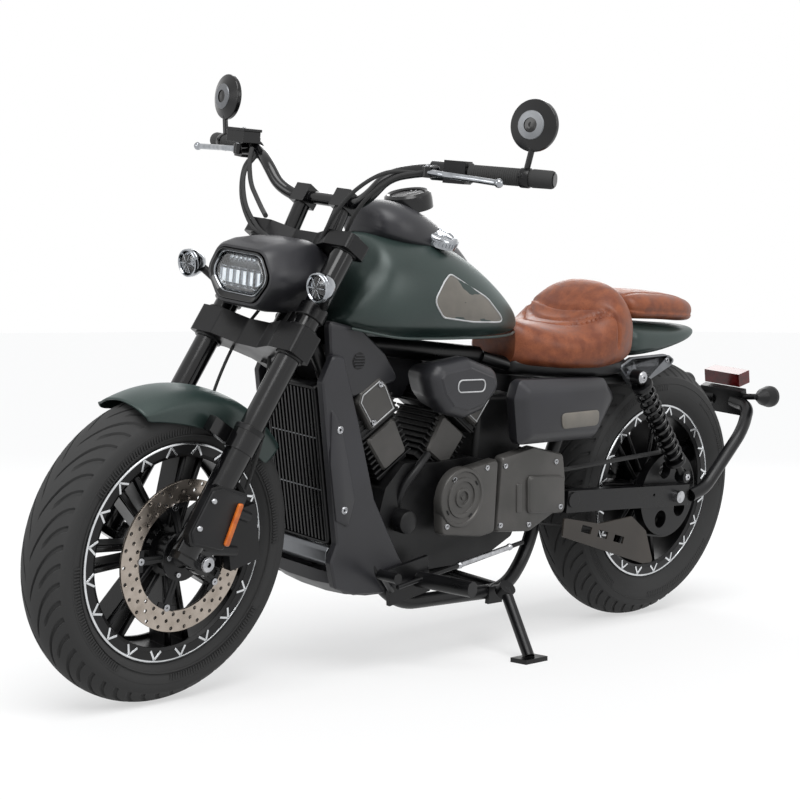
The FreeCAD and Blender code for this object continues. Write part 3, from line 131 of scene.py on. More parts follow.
class Shape:
    """Corners and faces collected in millimetres, to become one piece."""

    def __init__(self):
        self.corners = []
        self.faces = []

    def add(self, corners, faces, place=None):
        first = len(self.corners)
        self.corners += [place @ Vector(c) if place else Vector(c) for c in corners]
        self.faces += [[first + i for i in face] for face in faces]
        return self

    def rings(self, rings, place=None, closed=True, caps=True, loop=False):
        """Join rings of equal length into a skin; loop joins the last ring to the first."""
        count = len(rings[0])
        corners = [corner for ring in rings for corner in ring]
        faces = []
        spans = len(rings) if loop else len(rings) - 1
        for r in range(spans):
            here, there = r * count, ((r + 1) % len(rings)) * count
            for i in range(count if closed else count - 1):
                j = (i + 1) % count
                faces.append([here + i, here + j, there + j, there + i])
        if caps and closed and not loop:
            faces.append(list(range(count))[::-1])
            faces.append([(len(rings) - 1) * count + i for i in range(count)])
        return self.add(corners, faces, place)

    def lathe(self, profile, place=None, steps=48, loop=False):
        """Turn a (radius, height) outline about Z; loop closes the outline on itself."""
        rings = []
        for step in range(steps):
            angle = 2 * math.pi * step / steps
            rings.append([(r * math.cos(angle), r * math.sin(angle), h) for r, h in profile])
        return self.rings(rings, place, closed=loop, caps=False, loop=True)

    def rod(self, start, end, radius, end_radius=None, steps=24):
        """A round bar with softened ends."""
        start, end = Vector(start), Vector(end)
        length = (end - start).length
        end_radius = radius if end_radius is None else end_radius
        soft = min(1.2, radius * 0.2)
        profile = [(0.001, 0), (radius - soft, 0), (radius, soft), (end_radius, length - soft),
                   (end_radius - soft, length), (0.001, length)]
        return self.lathe(profile, aimed(start, end - start), steps)

    def block(self, centre, size, place=None):
        """A plain box, softened later by its piece's bevel."""
        x, y, z = (s / 2 for s in size)
        corners = [(cx * x, cy * y, cz * z) for cx in (-1, 1) for cy in (-1, 1) for cz in (-1, 1)]
        faces = [(0, 1, 3, 2), (4, 6, 7, 5), (0, 4, 5, 1), (2, 3, 7, 6), (0, 2, 6, 4), (1, 5, 7, 3)]
        move = Matrix.Translation(centre)
        return self.add(corners, faces, place @ move if place else move)

    def plate(self, corners, levels, radius=6, place=None):
        """A plate in the side view: rounded outline, with (distance left, inset) levels to its face."""
        rings = [[(x, y, z) for x, z in rounded(shrink(corners, amount), radius)] for y, amount in levels]
        return self.rings(rings, place)

    def pipe(self, points, radius, steps=12, place=None, closed=False):
        """A tube along a smooth line of points."""
        line = [Vector(point) for point in points]
        rings = []
        side = None
        for i, point in enumerate(line):
            before = line[i - 1] if i or closed else line[0]
            after = line[(i + 1) % len(line)] if i + 1 < len(line) or closed else line[-1]
            along = (after - before).normalized()
            if side is None:
                side = along.orthogonal()
            side = (side - along * side.dot(along)).normalized()
            other = along.cross(side)
            angles = [2 * math.pi * step / steps for step in range(steps)]
            rings.append([point + radius * (side * math.cos(a) + other * math.sin(a)) for a in angles])
        return self.rings(rings, place, caps=not closed, loop=closed)


def rounded(corners, radius, steps=6):
    """An outline with each corner turned into an arc; a corner's third number is its own radius."""
    points = []
    for i, corner in enumerate(corners):
        here = Vector(corner[:2])
        back = Vector(corners[i - 1][:2]) - here
        on = Vector(corners[(i + 1) % len(corners)][:2]) - here
        bend = back.angle(on)
        reach = min(back.length, on.length) * 0.49
        size = corner[2] if len(corner) > 2 else radius
        trim = min(size / math.tan(bend / 2), reach)
        start, end = here + back.normalized() * trim, here + on.normalized() * trim
        for step in range(steps + 1):
            t = step / steps
            points.append(tuple(start.lerp(here, t).lerp(here.lerp(end, t), t)))
    return points


def shrink(corners, amount):
    """The corners of an outline whose sides are all moved inwards by an amount."""
    points = [Vector(corner[:2]) for corner in corners]
    area = sum(a.x * b.y - b.x * a.y for a, b in zip(points, points[1:] + points[:1]))
    sense = 1 if area > 0 else -1
    moved = []
    for i, corner in enumerate(corners):
        before = (points[i] - points[i - 1]).normalized()
        after = (points[(i + 1) % len(points)] - points[i]).normalized()
        inward = Vector((-before.y - after.y, before.x + after.x)) * sense
        at = points[i] + inward * amount / (1 + before.dot(after))
        moved.append((at.x, at.y, *corner[2:]))
    return moved


def inset(points, amount):
    """A smooth outline's points, each moved inwards by an amount."""
    area = sum(a[0] * b[1] - b[0] * a[1] for a, b in zip(points, points[1:] + points[:1]))
    sense = 1 if area > 0 else -1
    moved = []
    for i, point in enumerate(points):
        along = (Vector(points[(i + 1) % len(points)]) - Vector(points[i - 1])).normalized()
        moved.append((point[0] - along.y * amount * sense, point[1] + along.x * amount * sense))
    return moved


def smooth_line(points, steps=8):
    """Points on a smooth line through the given ones."""
    line = [Vector(point) for point in points]
    padded = [line[0] * 2 - line[1]] + line + [line[-1] * 2 - line[-2]]
    out = []
    for a, b, c, d in zip(padded, padded[1:], padded[2:], padded[3:]):
        for step in range(steps):
            t = step / steps
            out.append(0.5 * (2 * b + (c - a) * t + (2 * a - 5 * b + 4 * c - d) * t ** 2
                              + (3 * b - a - 3 * c + d) * t ** 3))
    return out + [line[-1]]


def piece(name, shape, body, material, bevel=0.0, subdivide=0, sharp=35, stands_for=()):
    """Make a mesh object from a shape, finish it and let it ride on a body."""
    place = PARKED if body in ("chassis", "rear_wheel") else TURNED
    mesh = bpy.data.meshes.new(name)
    mesh.from_pydata([place @ corner for corner in shape.corners], [], shape.faces)
    work = bmesh.new()
    work.from_mesh(mesh)
    bmesh.ops.remove_doubles(work, verts=work.verts, dist=MERGE_GAP)
    bmesh.ops.recalc_face_normals(work, faces=work.faces)
    work.to_mesh(mesh)
    work.free()
    mesh.polygons.foreach_set("use_smooth", [True] * len(mesh.polygons))
    if not subdivide:
        mesh.set_sharp_from_angle(angle=math.radians(sharp))
    obj = bpy.data.objects.new(name, mesh)
    bpy.context.scene.collection.objects.link(obj)
    mesh.materials.append(bpy.data.materials[material])
    if bevel:
        soft = obj.modifiers.new("edges", "BEVEL")
        soft.width = bevel / 1000
        soft.segments = 2
        soft.limit_method = "ANGLE"
        soft.angle_limit = math.radians(sharp)
        soft.harden_normals = True
    if subdivide:
        skin = obj.modifiers.new("skin", "SUBSURF")
        skin.levels = skin.render_levels = subdivide
    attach(obj, body)
    if stands_for:
        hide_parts(*stands_for)
    return obj


# ---------------------------------------------------------------- finishes

def linear(text):
    """An sRGB hex colour as linear red, green, blue and alpha."""
    channels = [int(text[i:i + 2], 16) / 255 for i in (1, 3, 5)]
    return [c / 12.92 if c <= 0.04045 else ((c + 0.055) / 1.055) ** 2.4 for c in channels] + [1.0]


def per_mm(size):
    """A texture's scale for a pattern of that size in millimetres."""
    return 1000 / size


def node(tree, kind, settings=None, links=None):
    """Add a node, set its properties or sockets, and link its sockets from other nodes' outputs."""
    new = tree.nodes.new(kind)
    for name, value in (settings or {}).items():
        if isinstance(name, str) and hasattr(new, name):
            setattr(new, name, value)
        else:
            new.inputs[name].default_value = value
    for name, source in (links or {}).items():
        tree.links.new(source, new.inputs[name])
    return new


def blank_tree(owner):
    """A material's or world's node tree, switched on and emptied."""
    owner.use_nodes = True
    owner.node_tree.nodes.clear()
    return owner.node_tree


def finish(name, colours, roughness, grain, relief, patch=60, round_edges=1.2, metal=0.0, gleam=0.5):
    """A material whose colour drifts between two hexes, with a fine relief and softened edges.

    roughness is its lowest and highest value, grain and patch are sizes in millimetres, relief is the
    grain's depth in millimetres.
    """
    material = bpy.data.materials.new(name)
    tree = blank_tree(material)
    place = node(tree, "ShaderNodeTexCoord").outputs["Object"]
    drift = node(tree, "ShaderNodeTexNoise", {"Scale": per_mm(patch), "Detail": 4.0}, {"Vector": place})
    fine = node(tree, "ShaderNodeTexNoise", {"Scale": per_mm(grain), "Detail": 3.0}, {"Vector": place})
    spread = node(tree, "ShaderNodeMapRange", {"From Min": 0.35, "From Max": 0.65},
                  {"Value": drift.outputs["Fac"]})
    tint = node(tree, "ShaderNodeMix", {"data_type": "RGBA", 6: linear(colours[0]), 7: linear(colours[1])},
                {0: spread.outputs["Result"]})
    gloss = node(tree, "ShaderNodeMapRange", {"To Min": roughness[0], "To Max": roughness[1]},
                 {"Value": spread.outputs["Result"]})
    edges = node(tree, "ShaderNodeBevel", {"samples": 4, "Radius": round_edges / 1000})
    bump = node(tree, "ShaderNodeBump", {"Strength": 1.0, "Distance": relief / 1000},
                {"Height": fine.outputs["Fac"], "Normal": edges.outputs["Normal"]})
    surface = node(tree, "ShaderNodeBsdfPrincipled", {"Metallic": metal, "Specular IOR Level": gleam},
                   {"Base Color": tint.outputs[2], "Roughness": gloss.outputs["Result"],
                    "Normal": bump.outputs["Normal"]})
    node(tree, "ShaderNodeOutputMaterial", {}, {"Surface": surface.outputs["BSDF"]})
    return material


def make_finishes(colours):
    # Satin metallic lacquer, sprayed: dark green that turns teal grey where light grazes it.
    teal_sheen(finish("satin_green_lacquer", (colours.paint, "#2f3d3a"), (0.34, 0.40), 0.8, 0.003, 240,
                      round_edges=0.5, metal=0.25, gleam=0.6))
    # Satin grey lacquer over ABS, sprayed: dark, evenly dull, faint orange peel.
    finish("satin_grey_abs", ("#27272a", "#2f2f33"), (0.36, 0.44), 1.2, 0.008, 180, gleam=0.42)
    # Powder-coated steel, baked: near black with a soft sheen.
    finish("powder_coated_steel", ("#080809", "#0e0e10"), (0.26, 0.38), 0.9, 0.010, 70, gleam=0.3)
    # Gloss black anodised aluminium, drawn tube: black with narrow bright highlights.
    finish("black_anodised_aluminium", ("#070708", "#0c0c0e"), (0.12, 0.20), 0.5, 0.002, 90, gleam=0.45)
    # Cast aluminium painted charcoal, sand cast: warm dark grey with a visible grain.
    finish("charcoal_cast_aluminium", ("#4a4947", "#575553"), (0.36, 0.48), 1.4, 0.025, 90, metal=0.4,
           gleam=0.4)
    # Cast iron painted black: dark with a coarse cast grain.
    finish("black_cast_iron", ("#0b0b0c", "#141415"), (0.36, 0.54), 1.8, 0.040, 60, gleam=0.3)
    # Bronze-grey lacquered sheet, laser cut: flat warm grey.
    finish("bronze_lacquered_sheet", ("#36322e", "#413c37"), (0.34, 0.42), 1.0, 0.008, 120, metal=0.3,
           gleam=0.4)
    # Chromed brass, polished: bright and sharp.
    finish("chromed_brass", ("#8d9094", "#a6a9ad"), (0.06, 0.13), 0.6, 0.001, 18, metal=1.0)
    # Zinc-plated steel, machined: bright grey with a fine turned grain.
    finish("zinc_plated_steel", ("#9b9c9f", "#b9babd"), (0.20, 0.32), 0.5, 0.004, 12, metal=1.0)
    # Bright-turned rim edge: a thin clean line of bare aluminium.
    finish("turned_aluminium", ("#c6c8ca", "#d8dadc"), (0.18, 0.26), 0.5, 0.002, 30, metal=1.0)
    # Satin nickel sheet, bead blasted: pale soft metal.
    finish("bead_blasted_nickel", ("#6e7073", "#808285"), (0.34, 0.46), 0.7, 0.008, 60, metal=0.85)
    # Stainless steel, ground flat: warm pale disc with ring-shaped scratches.
    disc = finish("ground_stainless_steel", ("#9c9288", "#b3a99f"), (0.22, 0.34), 0.6, 0.004, 30, metal=0.95)
    disc.node_tree.nodes["Principled BSDF"].inputs["Anisotropic"].default_value = 0.5
    # Tyre rubber, moulded: black going grey with talc, dull, faint sheen at the edges.
    finish("tyre_rubber", ("#070707", "#0f0f10"), (0.44, 0.60), 1.0, 0.030, 30, round_edges=0.6, gleam=0.22)
    # Grip rubber, moulded: soft black.
    finish("grip_rubber", ("#080808", "#0f0f10"), (0.50, 0.62), 0.8, 0.020, 25, gleam=0.2)
    # Polypropylene, moulded: fine-textured black.
    finish("moulded_polypropylene", ("#0b0b0c", "#131315"), (0.36, 0.48), 0.7, 0.015, 50, gleam=0.3)
    # Radiator fins, folded aluminium painted black: a soft dark gloss.
    finish("black_fin_aluminium", ("#060607", "#0e0e10"), (0.26, 0.36), 0.8, 0.008, 40, gleam=0.4)
    leather(colours.leather)
    # Acrylic, moulded amber: clear orange with light inside.
    finish("amber_acrylic", ("#c25a18", "#dd7526"), (0.14, 0.22), 2.0, 0.02, 15)
    # Acrylic, moulded red: deep and glossy.
    finish("red_acrylic", ("#4a0808", "#651012"), (0.10, 0.18), 2.0, 0.02, 15)
    # White enamel line, brushed on: plain white.
    finish("white_enamel", ("#c9cacb", "#dddedf"), (0.30, 0.40), 1.0, 0.01, 20)
    # Neutral print film under varnish: flat grey.
    finish("grey_film", ("#6f6b64", "#7b766e"), (0.42, 0.50), 0.9, 0.006, 50)
    clear_polycarbonate()
    lamp_chip()
    # Silvered glass, floated flat: a clean mirror.
    finish("silvered_glass", ("#c9ccce", "#d3d6d8"), (0.01, 0.03), 4.0, 0.001, 80, metal=1.0)


def teal_sheen(material):
    """Aluminium flakes in the lacquer, drawn 0.8 mm wide so that they show, and a teal bloom."""
    tree = material.node_tree
    surface = tree.nodes["Principled BSDF"]
    place = node(tree, "ShaderNodeTexCoord").outputs["Object"]
    cells = node(tree, "ShaderNodeTexVoronoi", {"Scale": per_mm(0.8)}, {"Vector": place})
    lit = node(tree, "ShaderNodeMapRange", {"To Min": 0.15, "To Max": 0.4}, {"Value": cells.outputs["Color"]})
    tree.links.new(lit.outputs["Result"], surface.inputs["Metallic"])
    surface.inputs["Sheen Weight"].default_value = 0.18
    surface.inputs["Sheen Roughness"].default_value = 0.4
    surface.inputs["Sheen Tint"].default_value = linear("#6f9f9c")


def leather(colour):
    """Waxed cowhide, sewn: warm brown, scuffed paler in patches, with fine creases 3 mm apart and painted
    shade darkening the leather along them.
    """
    material = finish("waxed_cowhide", (colour, "#945537"), (0.36, 0.50), 0.9, 0.04, 26,
                      round_edges=0.5, gleam=0.35)
    tree = material.node_tree
    surface = tree.nodes["Principled BSDF"]
    place = node(tree, "ShaderNodeTexCoord").outputs["Object"]
    crease_cells = node(tree, "ShaderNodeTexVoronoi", {"Scale": per_mm(3), "feature": "DISTANCE_TO_EDGE"},
                 {"Vector": place})
    crease_and_shade = node(tree, "ShaderNodeMapRange", {"From Max": 0.12}, {"Value": crease_cells.outputs["Distance"]})
    old = surface.inputs["Normal"].links[0].from_socket
    bump = node(tree, "ShaderNodeBump", {"Strength": 0.4, "Distance": 0.0001},
                {"Height": crease_and_shade.outputs["Result"], "Normal": old})
    tree.links.new(bump.outputs["Normal"], surface.inputs["Normal"])
    worn = surface.inputs["Base Color"].links[0].from_socket
    # Painted shade: along each crease line the colour goes towards #9a7c6e, and white between the creases.
    crease_shade = node(tree, "ShaderNodeMix", {"data_type": "RGBA", 6: linear("#9a7c6e"), 7: linear("#ffffff")},
                {0: crease_and_shade.outputs["Result"]})
    # Multiplied in at half strength, this lays the painted shade into the creases of the leather's own
    # colour.
    deep = node(tree, "ShaderNodeMix", {"data_type": "RGBA", "blend_type": "MULTIPLY", 0: 0.5},
                {6: worn, 7: crease_shade.outputs[2]})
    tree.links.new(deep.outputs[2], surface.inputs["Base Color"])


def clear_polycarbonate():
    """Polycarbonate, moulded: clear with bright edges."""
    material = bpy.data.materials.new("clear_polycarbonate")
    material.use_nodes = True
    tree = material.node_tree
    surface = tree.nodes["Principled BSDF"]
    for socket, value in (("Base Color", linear("#f4f6f7")), ("Roughness", 0.03), ("IOR", 1.585),
                          ("Transmission Weight", 1.0)):
        surface.inputs[socket].default_value = value
    place = node(tree, "ShaderNodeTexCoord").outputs["Object"]
    wave = node(tree, "ShaderNodeTexNoise", {"Scale": per_mm(12)}, {"Vector": place})
    bump = node(tree, "ShaderNodeBump", {"Strength": 0.15, "Distance": 0.0002},
                {"Height": wave.outputs["Fac"]})
    tree.links.new(bump.outputs["Normal"], surface.inputs["Normal"])


def lamp_chip():
    """LED chips under silicone: white, faintly lit."""
    material = finish("led_chip", ("#e9eef2", "#f8fafb"), (0.2, 0.3), 1.0, 0.01, 20)
    surface = material.node_tree.nodes["Principled BSDF"]
    surface.inputs["Emission Color"].default_value = linear("#eef4fa")
    surface.inputs["Emission Strength"].default_value = 0.5

CAD_FINISHES = {
    "powder_coated_steel": ("frame", "swingarm", "side_stand", "plate_holder", "foot_controls", "fork_yokes",
                            "front_rim", "rear_rim", "fork_guards", "exhaust", "rear_pulley"),
    "black_anodised_aluminium": ("fork_legs", "handlebar", "mirrors"),
    "zinc_plated_steel": ("front_axle", "rear_axle"),
    "moulded_polypropylene": ("switch_housings", "rear_indicators", "front_caliper", "rear_caliper",
                              "instrument"),
    "grip_rubber": ("grips", "brake_hose", "drive_belt"),
    "charcoal_cast_aluminium": ("engine_covers",),
    "black_cast_iron": ("crankcase", "cylinders"),
    "bronze_lacquered_sheet": ("belt_guard",),
    "bead_blasted_nickel": ("fender_struts",),
    "satin_grey_abs": ("headlight_cowl", "tank_console", "side_covers", "intake_cover", "neck_covers",
                       "radiator_shroud"),
    "satin_green_lacquer": ("fuel_tank", "front_fender", "tail_cowl"),
    "waxed_cowhide": ("rider_seat", "pillion_seat"),
    "tyre_rubber": ("front_tyre", "rear_tyre"),
    "ground_stainless_steel": ("front_disc", "rear_disc"),
    "black_fin_aluminium": ("radiator", "rear_shocks"),
    "red_acrylic": ("tail_lamp",),
    "clear_polycarbonate": ("headlight",),
}


# ---------------------------------------------------------------- wheels

def tyre_section(outer, half, lip):
    """Half a tyre's section, middle to bead: (radius, distance out, fraction of the tread)."""
    crown = (half * 0.5 - 1) * 2.1445
    tread = (0, 0.06, 0.10, 0.14, 0.22, 0.32, 0.38, 0.44, 0.54, 0.64, 0.74, 0.84, 0.89, 0.93, 1.0)
    widest = math.radians(50)
    points = []
    for t in tread:
        angle = widest * min(t / 0.8, 1)
        spare = max(t - 0.8, 0) / 0.2
        r = outer - crown * (1 - math.cos(angle)) - spare * 9
        y = crown * math.sin(angle) + spare * (half - 4 - crown * math.sin(widest))
        points.append((r, y, t))
    low = points[-1][0]
    for drop, y in ((0.16, half - 1), (0.34, half), (0.52, half - 1.5), (0.68, half - 5), (0.82, half - 10),
                    (0.90, lip + 5), (0.95, lip + 3), (1.0, lip)):
        points.append((low + (BEAD_R - low) * drop, y, 2))
    return points


def groove(fraction, t, side, depth):
    """How deep the tread is cut at a fraction of its pattern and a distance out from the middle."""
    first, second = 0.03 < fraction < 0.15, 0.53 < fraction < 0.65
    if side < 0:
        first, second = second, first
    if (first and 0.09 < t < 0.92) or (second and 0.40 < t < 0.92):
        return depth
    return 0


def treaded_tyre(name, outer, half, lip, periods, axle, body, depth):
    """A tyre with long curved sipes: the mesh's columns lean with them, so that their edges stay crisp."""
    section = tyre_section(outer, half, lip)
    columns = [number + share for number in range(periods)
               for share in (0, 0.04, 0.14, 0.18, 0.34, 0.5, 0.54, 0.64, 0.68, 0.84)]
    period = 2 * math.pi / periods
    rings = []
    for column in columns:
        ring = []
        for side in (-1, 1):
            half_ring = []
            for r, y, t in section:
                lean = 1.7 * (1 - (1 - min(t, 1)) ** 2.1)
                angle = (column - lean) * period
                r -= groove(column % 1, t, side, depth)
                half_ring.append((r * math.cos(angle), r * math.sin(angle), y * side))
            ring += half_ring[::-1] if side < 0 else half_ring[1:]
        rings.append(ring)
    shape = Shape().rings(rings, axle, closed=False, caps=False, loop=True)
    shape.lathe([(BEAD_R, -lip), (206, -lip + 2), (205, lip - 2), (BEAD_R, lip)], axle, 96)
    knurl = Shape()
    for side in (-1, 1):
        for number, spin in enumerate(turns(axle, 240)):
            if number % 60 <= 38:
                knurl.block((outer - 62, 0, side * (half - 0.6)), (13, 2.6, 2.4), spin)
        for r, y in ((outer - 52, half - 0.8), (outer - 72, half - 2.2), (228, lip + 7)):
            knurl.lathe([(r - 1.6, side * (y - 1)), (r - 0.6, side * (y + 1.1)), (r + 0.6, side * (y + 1.1)),
                         (r + 1.6, side * (y - 1))], axle, 120)
    piece(name + "_sidewall", knurl, body, "tyre_rubber")
    piece(name + "_tread", shape, body, "tyre_rubber", sharp=30, stands_for=[name])


def rim_trim(name, axle, body, rim_half):
    """The bright ring round the rim flange and the V marks inside it, on both faces."""
    ring, marks = Shape(), Shape()
    for side in (-1, 1):
        y = rim_half * side
        ring.lathe([(212.6, y - 0.4 * side), (213.6, y + 1.6 * side), (217.6, y + 1.6 * side), (218.6, y),
                    (218.4, y - 3 * side)], axle, 160)
        for spin in turns(axle, 20, 0.5):
            for slant in (-1, 1):
                place = spin @ Matrix.Translation((212, 0, y)) @ Matrix.Rotation(slant * 0.62, 4, "Z")
                marks.block((-11, 0, 0.4 * side), (22, 4.6, 2.4), place)
    piece(name + "_ring", ring, body, "turned_aluminium", sharp=60)
    piece(name + "_marks", marks, body, "turned_aluminium", bevel=0.4)


def spokes(name, axle, body, rim_half, hub_half):
    """Raised ribs on the cast spokes, a hub ring and a shelf round the barrel."""
    shape = Shape()
    for side in (-1, 1):
        for spin in turns(axle, 7):
            for slant in (-1, 1):
                start = spin @ Vector((44, slant * 12, side * (rim_half * 0.45 + 1)))
                end = spin @ Vector((196, slant * 22, side * (rim_half * 0.45 + 4)))
                shape.rod(start, end, 6.5, 5, 12)
        hub = ((30, hub_half * 0.2), (52, hub_half * 0.3), (50, rim_half * 0.5 + 4), (34, rim_half * 0.5 + 8))
        shelf = ((196.4, rim_half - 14), (189, rim_half - 10), (189, rim_half - 5), (196.4, rim_half - 1))
        for outline, steps in ((hub, 48), (shelf, 120)):
            shape.lathe([(r, side * y) for r, y in outline], axle, steps)
    piece(name + "_ribs", shape, body, "powder_coated_steel", sharp=50)


def drilled_ring(shape, inner, outer, thick, holes, bore, place):
    """A flat ring with three staggered rows of holes through it."""
    cells = holes * 2
    step = 2 * math.pi / cells
    height = (outer - inner) / 3

    def corner(cell, row, angle, reach):
        a = (cell + 0.5 + angle) * step
        r = inner + (row + 0.5 + reach) * height
        return r * math.cos(a), r * math.sin(a)

    around = [(-0.5, -0.5), (0, -0.5), (0.5, -0.5), (0.5, 0), (0.5, 0.5), (0, 0.5), (-0.5, 0.5), (-0.5, 0)]
    for row in range(3):
        for cell in range(cells):
            edge = [corner(cell, row, a, r) for a, r in around]
            if (cell + row) % 2:
                for z in (-thick / 2, thick / 2):
                    shape.add([(x, y, z) for x, y in edge], [list(range(8))], place)
                continue
            x0, y0 = corner(cell, row, 0, 0)
            hole = []
            for x, y in edge:
                way = Vector((x - x0, y - y0)).normalized() * bore
                hole.append((x0 + way.x, y0 + way.y))
            levels = [[(x, y, z) for x, y in ring] for ring, z in
                      ((edge, thick / 2), (hole, thick / 2), (hole, -thick / 2), (edge, -thick / 2))]
            shape.rings(levels, place, caps=False)
    for r in (inner, outer):
        shape.lathe([(r, -thick / 2), (r, thick / 2)], place, cells * 2)


def brake_disc(name, axle, body, outer, away, thick=5):
    """A drilled disc on a black carrier with bright bobbins."""
    place = axle @ Matrix.Translation((0, 0, away))
    ring = Shape()
    drilled_ring(ring, outer - 42, outer, thick, 27, 4.1, place)
    piece(name + "_ring", ring, body, "ground_stainless_steel", sharp=40, stands_for=[name])
    carrier, bobbins = Shape(), Shape()
    carrier.lathe([(24, -3), (50, -3), (50, 3), (24, 3)], place, 48, loop=True)
    for number, spin in enumerate(turns(place, 5)):
        for slant in (-1, 1):
            leg = place @ Matrix.Rotation(2 * math.pi * number / 5 + slant * 0.2, 4, "Z")
            leg = leg @ Matrix.Rotation(-slant * 0.24, 4, "Z")
            carrier.block(((outer - 2) / 2, 0, 0), (outer - 82, 9, 5), leg)
        carrier.block((outer - 47, 0, 0), (12, 44, 5), spin)
        for away, bore, r, tall, steps in ((outer - 46, 2, 7, 5, 16), (38, 1, 5, 7, 12)):
            bobbins.lathe([(bore, -tall), (r, -tall), (r, tall), (bore, tall)],
                          spin @ Matrix.Translation((away, 0, 0)), steps, loop=True)
    piece(name + "_carrier", carrier, body, "powder_coated_steel", bevel=0.6)
    piece(name + "_bobbins", bobbins, body, "zinc_plated_steel")


def make_wheels(sizes):
    treaded_tyre("front_tyre", FRONT_R, 65, 43, 25, FRONT_AXLE, "front_wheel", sizes.tread_depth)
    treaded_tyre("rear_tyre", REAR_R, 76, 56, 26, REAR_AXLE, "rear_wheel", sizes.tread_depth)
    rim_trim("front_rim", FRONT_AXLE, "front_wheel", 49)
    rim_trim("rear_rim", REAR_AXLE, "rear_wheel", 62)
    spokes("front_rim", FRONT_AXLE, "front_wheel", 49, 60)
    spokes("rear_rim", REAR_AXLE, "rear_wheel", 62, 78)
    brake_disc("front_disc", FRONT_AXLE, "front_wheel", 150, 70)
    brake_disc("rear_disc", REAR_AXLE, "rear_wheel", 120, -85.5)


# ---------------------------------------------------------------- front end

def make_fender():
    """A pressed fender: a deep arch whose sides are shorter at both ends."""
    rings = []
    steps = 22
    for step in range(steps + 1):
        t = step / steps
        angle = math.radians(67 + 72 * t)
        deep = 244 + 46 * max(0, 1 - t / 0.55) ** 2 + 10 * max(0, (t - 0.8) / 0.2)
        flare = 3 * (1 - t) ** 4
        section = [(deep, 74), (deep + 12, 74.5), (288 + (deep - 244) * 0.35, 74), (304, 67), (315, 52),
                   (321, 30), (323 + flare, 0)]
        ring = [(r * math.cos(angle), r * math.sin(angle), -y) for r, y in section]
        ring += [(r * math.cos(angle), r * math.sin(angle), y) for r, y in section[-2::-1]]
        rings.append(ring)
    place = Matrix.Translation((WHEELBASE, 0, FRONT_R)) @ Matrix.Rotation(math.radians(90), 4, "X")
    shape = Shape().rings(rings, place, closed=False, caps=False)
    fender = piece("front_fender_shell", shape, "steering", "satin_green_lacquer", subdivide=2,
                   stands_for=["front_fender"])
    wall = fender.modifiers.new("wall", "SOLIDIFY")
    wall.thickness = 0.004
    wall.offset = -1


def fork_details():
    """Collars, caps, guard plates, reflectors and bolts on the fork."""
    bright, plates, amber, dark = Shape(), Shape(), Shape(), Shape()
    for sign in SIDES:
        y = TUBE_OUT * sign
        for along, radius, tall in ((262, 30.6, 6), (430, 29, 5), (488, 29, 5), (700, 25, 4), (668, 27, 3)):
            band = [(radius - 6, -tall), (radius - 1, -tall), (radius, -tall + 1), (radius, tall - 1),
                    (radius - 1, tall), (radius - 6, tall)]
            dark.lathe(band, FORK @ Matrix.Translation((TUBE_AHEAD, y, along)), 40)
        bright.lathe([(0.5, 6), (8, 6), (9, 4), (9, -1)], FORK @ Matrix.Translation((TUBE_AHEAD, y, 704)), 6)
        guard = [(16, 36), (92, 16), (108, 30), (110, 120), (92, 134), (24, 150)]
        plates.plate(guard, [(150 * sign, 0), (153 * sign, 0), (155.5 * sign, 2.5)], 8, FORK)
        amber.plate([(12, 48), (24, 44), (40, 128), (28, 133)],
                    [(155 * sign, 0), (159 * sign, 0), (161 * sign, 2)], 5, FORK)
        for ahead, along in ((98, 104), (98, 46)):
            bright.lathe([(0.5, 3), (4.5, 3), (6, 1), (6, -3)],
                         FORK @ sideways(ahead, 157 * sign, along, sign), 16)
        bright.lathe([(0.5, 4), (5, 4), (6.5, 2), (6.5, -8)],
                     sideways(*fork_point(112, 88 * sign, 236), sign), 12)
    bright.lathe([(5, 2), (10, 3), (14, 1), (15, -4), (15, -9)], sideways(WHEELBASE, 146, FRONT_R, 1), 24)
    piece("fork_bands", dark, "steering", "powder_coated_steel", sharp=40)
    piece("fork_guard_faces", plates, "steering", "moulded_polypropylene", bevel=0.5)
    piece("side_reflectors", amber, "steering", "amber_acrylic", bevel=0.5)
    piece("fork_bolts", bright, "steering", "zinc_plated_steel", sharp=40)


def rounded_box_ring(half_top, half_mid, half_low, top, middle, low, x, radius=20):
    """A crosswise outline of the headlight cowl at a distance ahead."""
    half = [(half_low, low), (half_mid, middle), (half_top, top)]
    corners = half + [(-y, z) for y, z in half[::-1]]
    return [(x, y, z) for y, z in rounded(corners, radius, 5)]


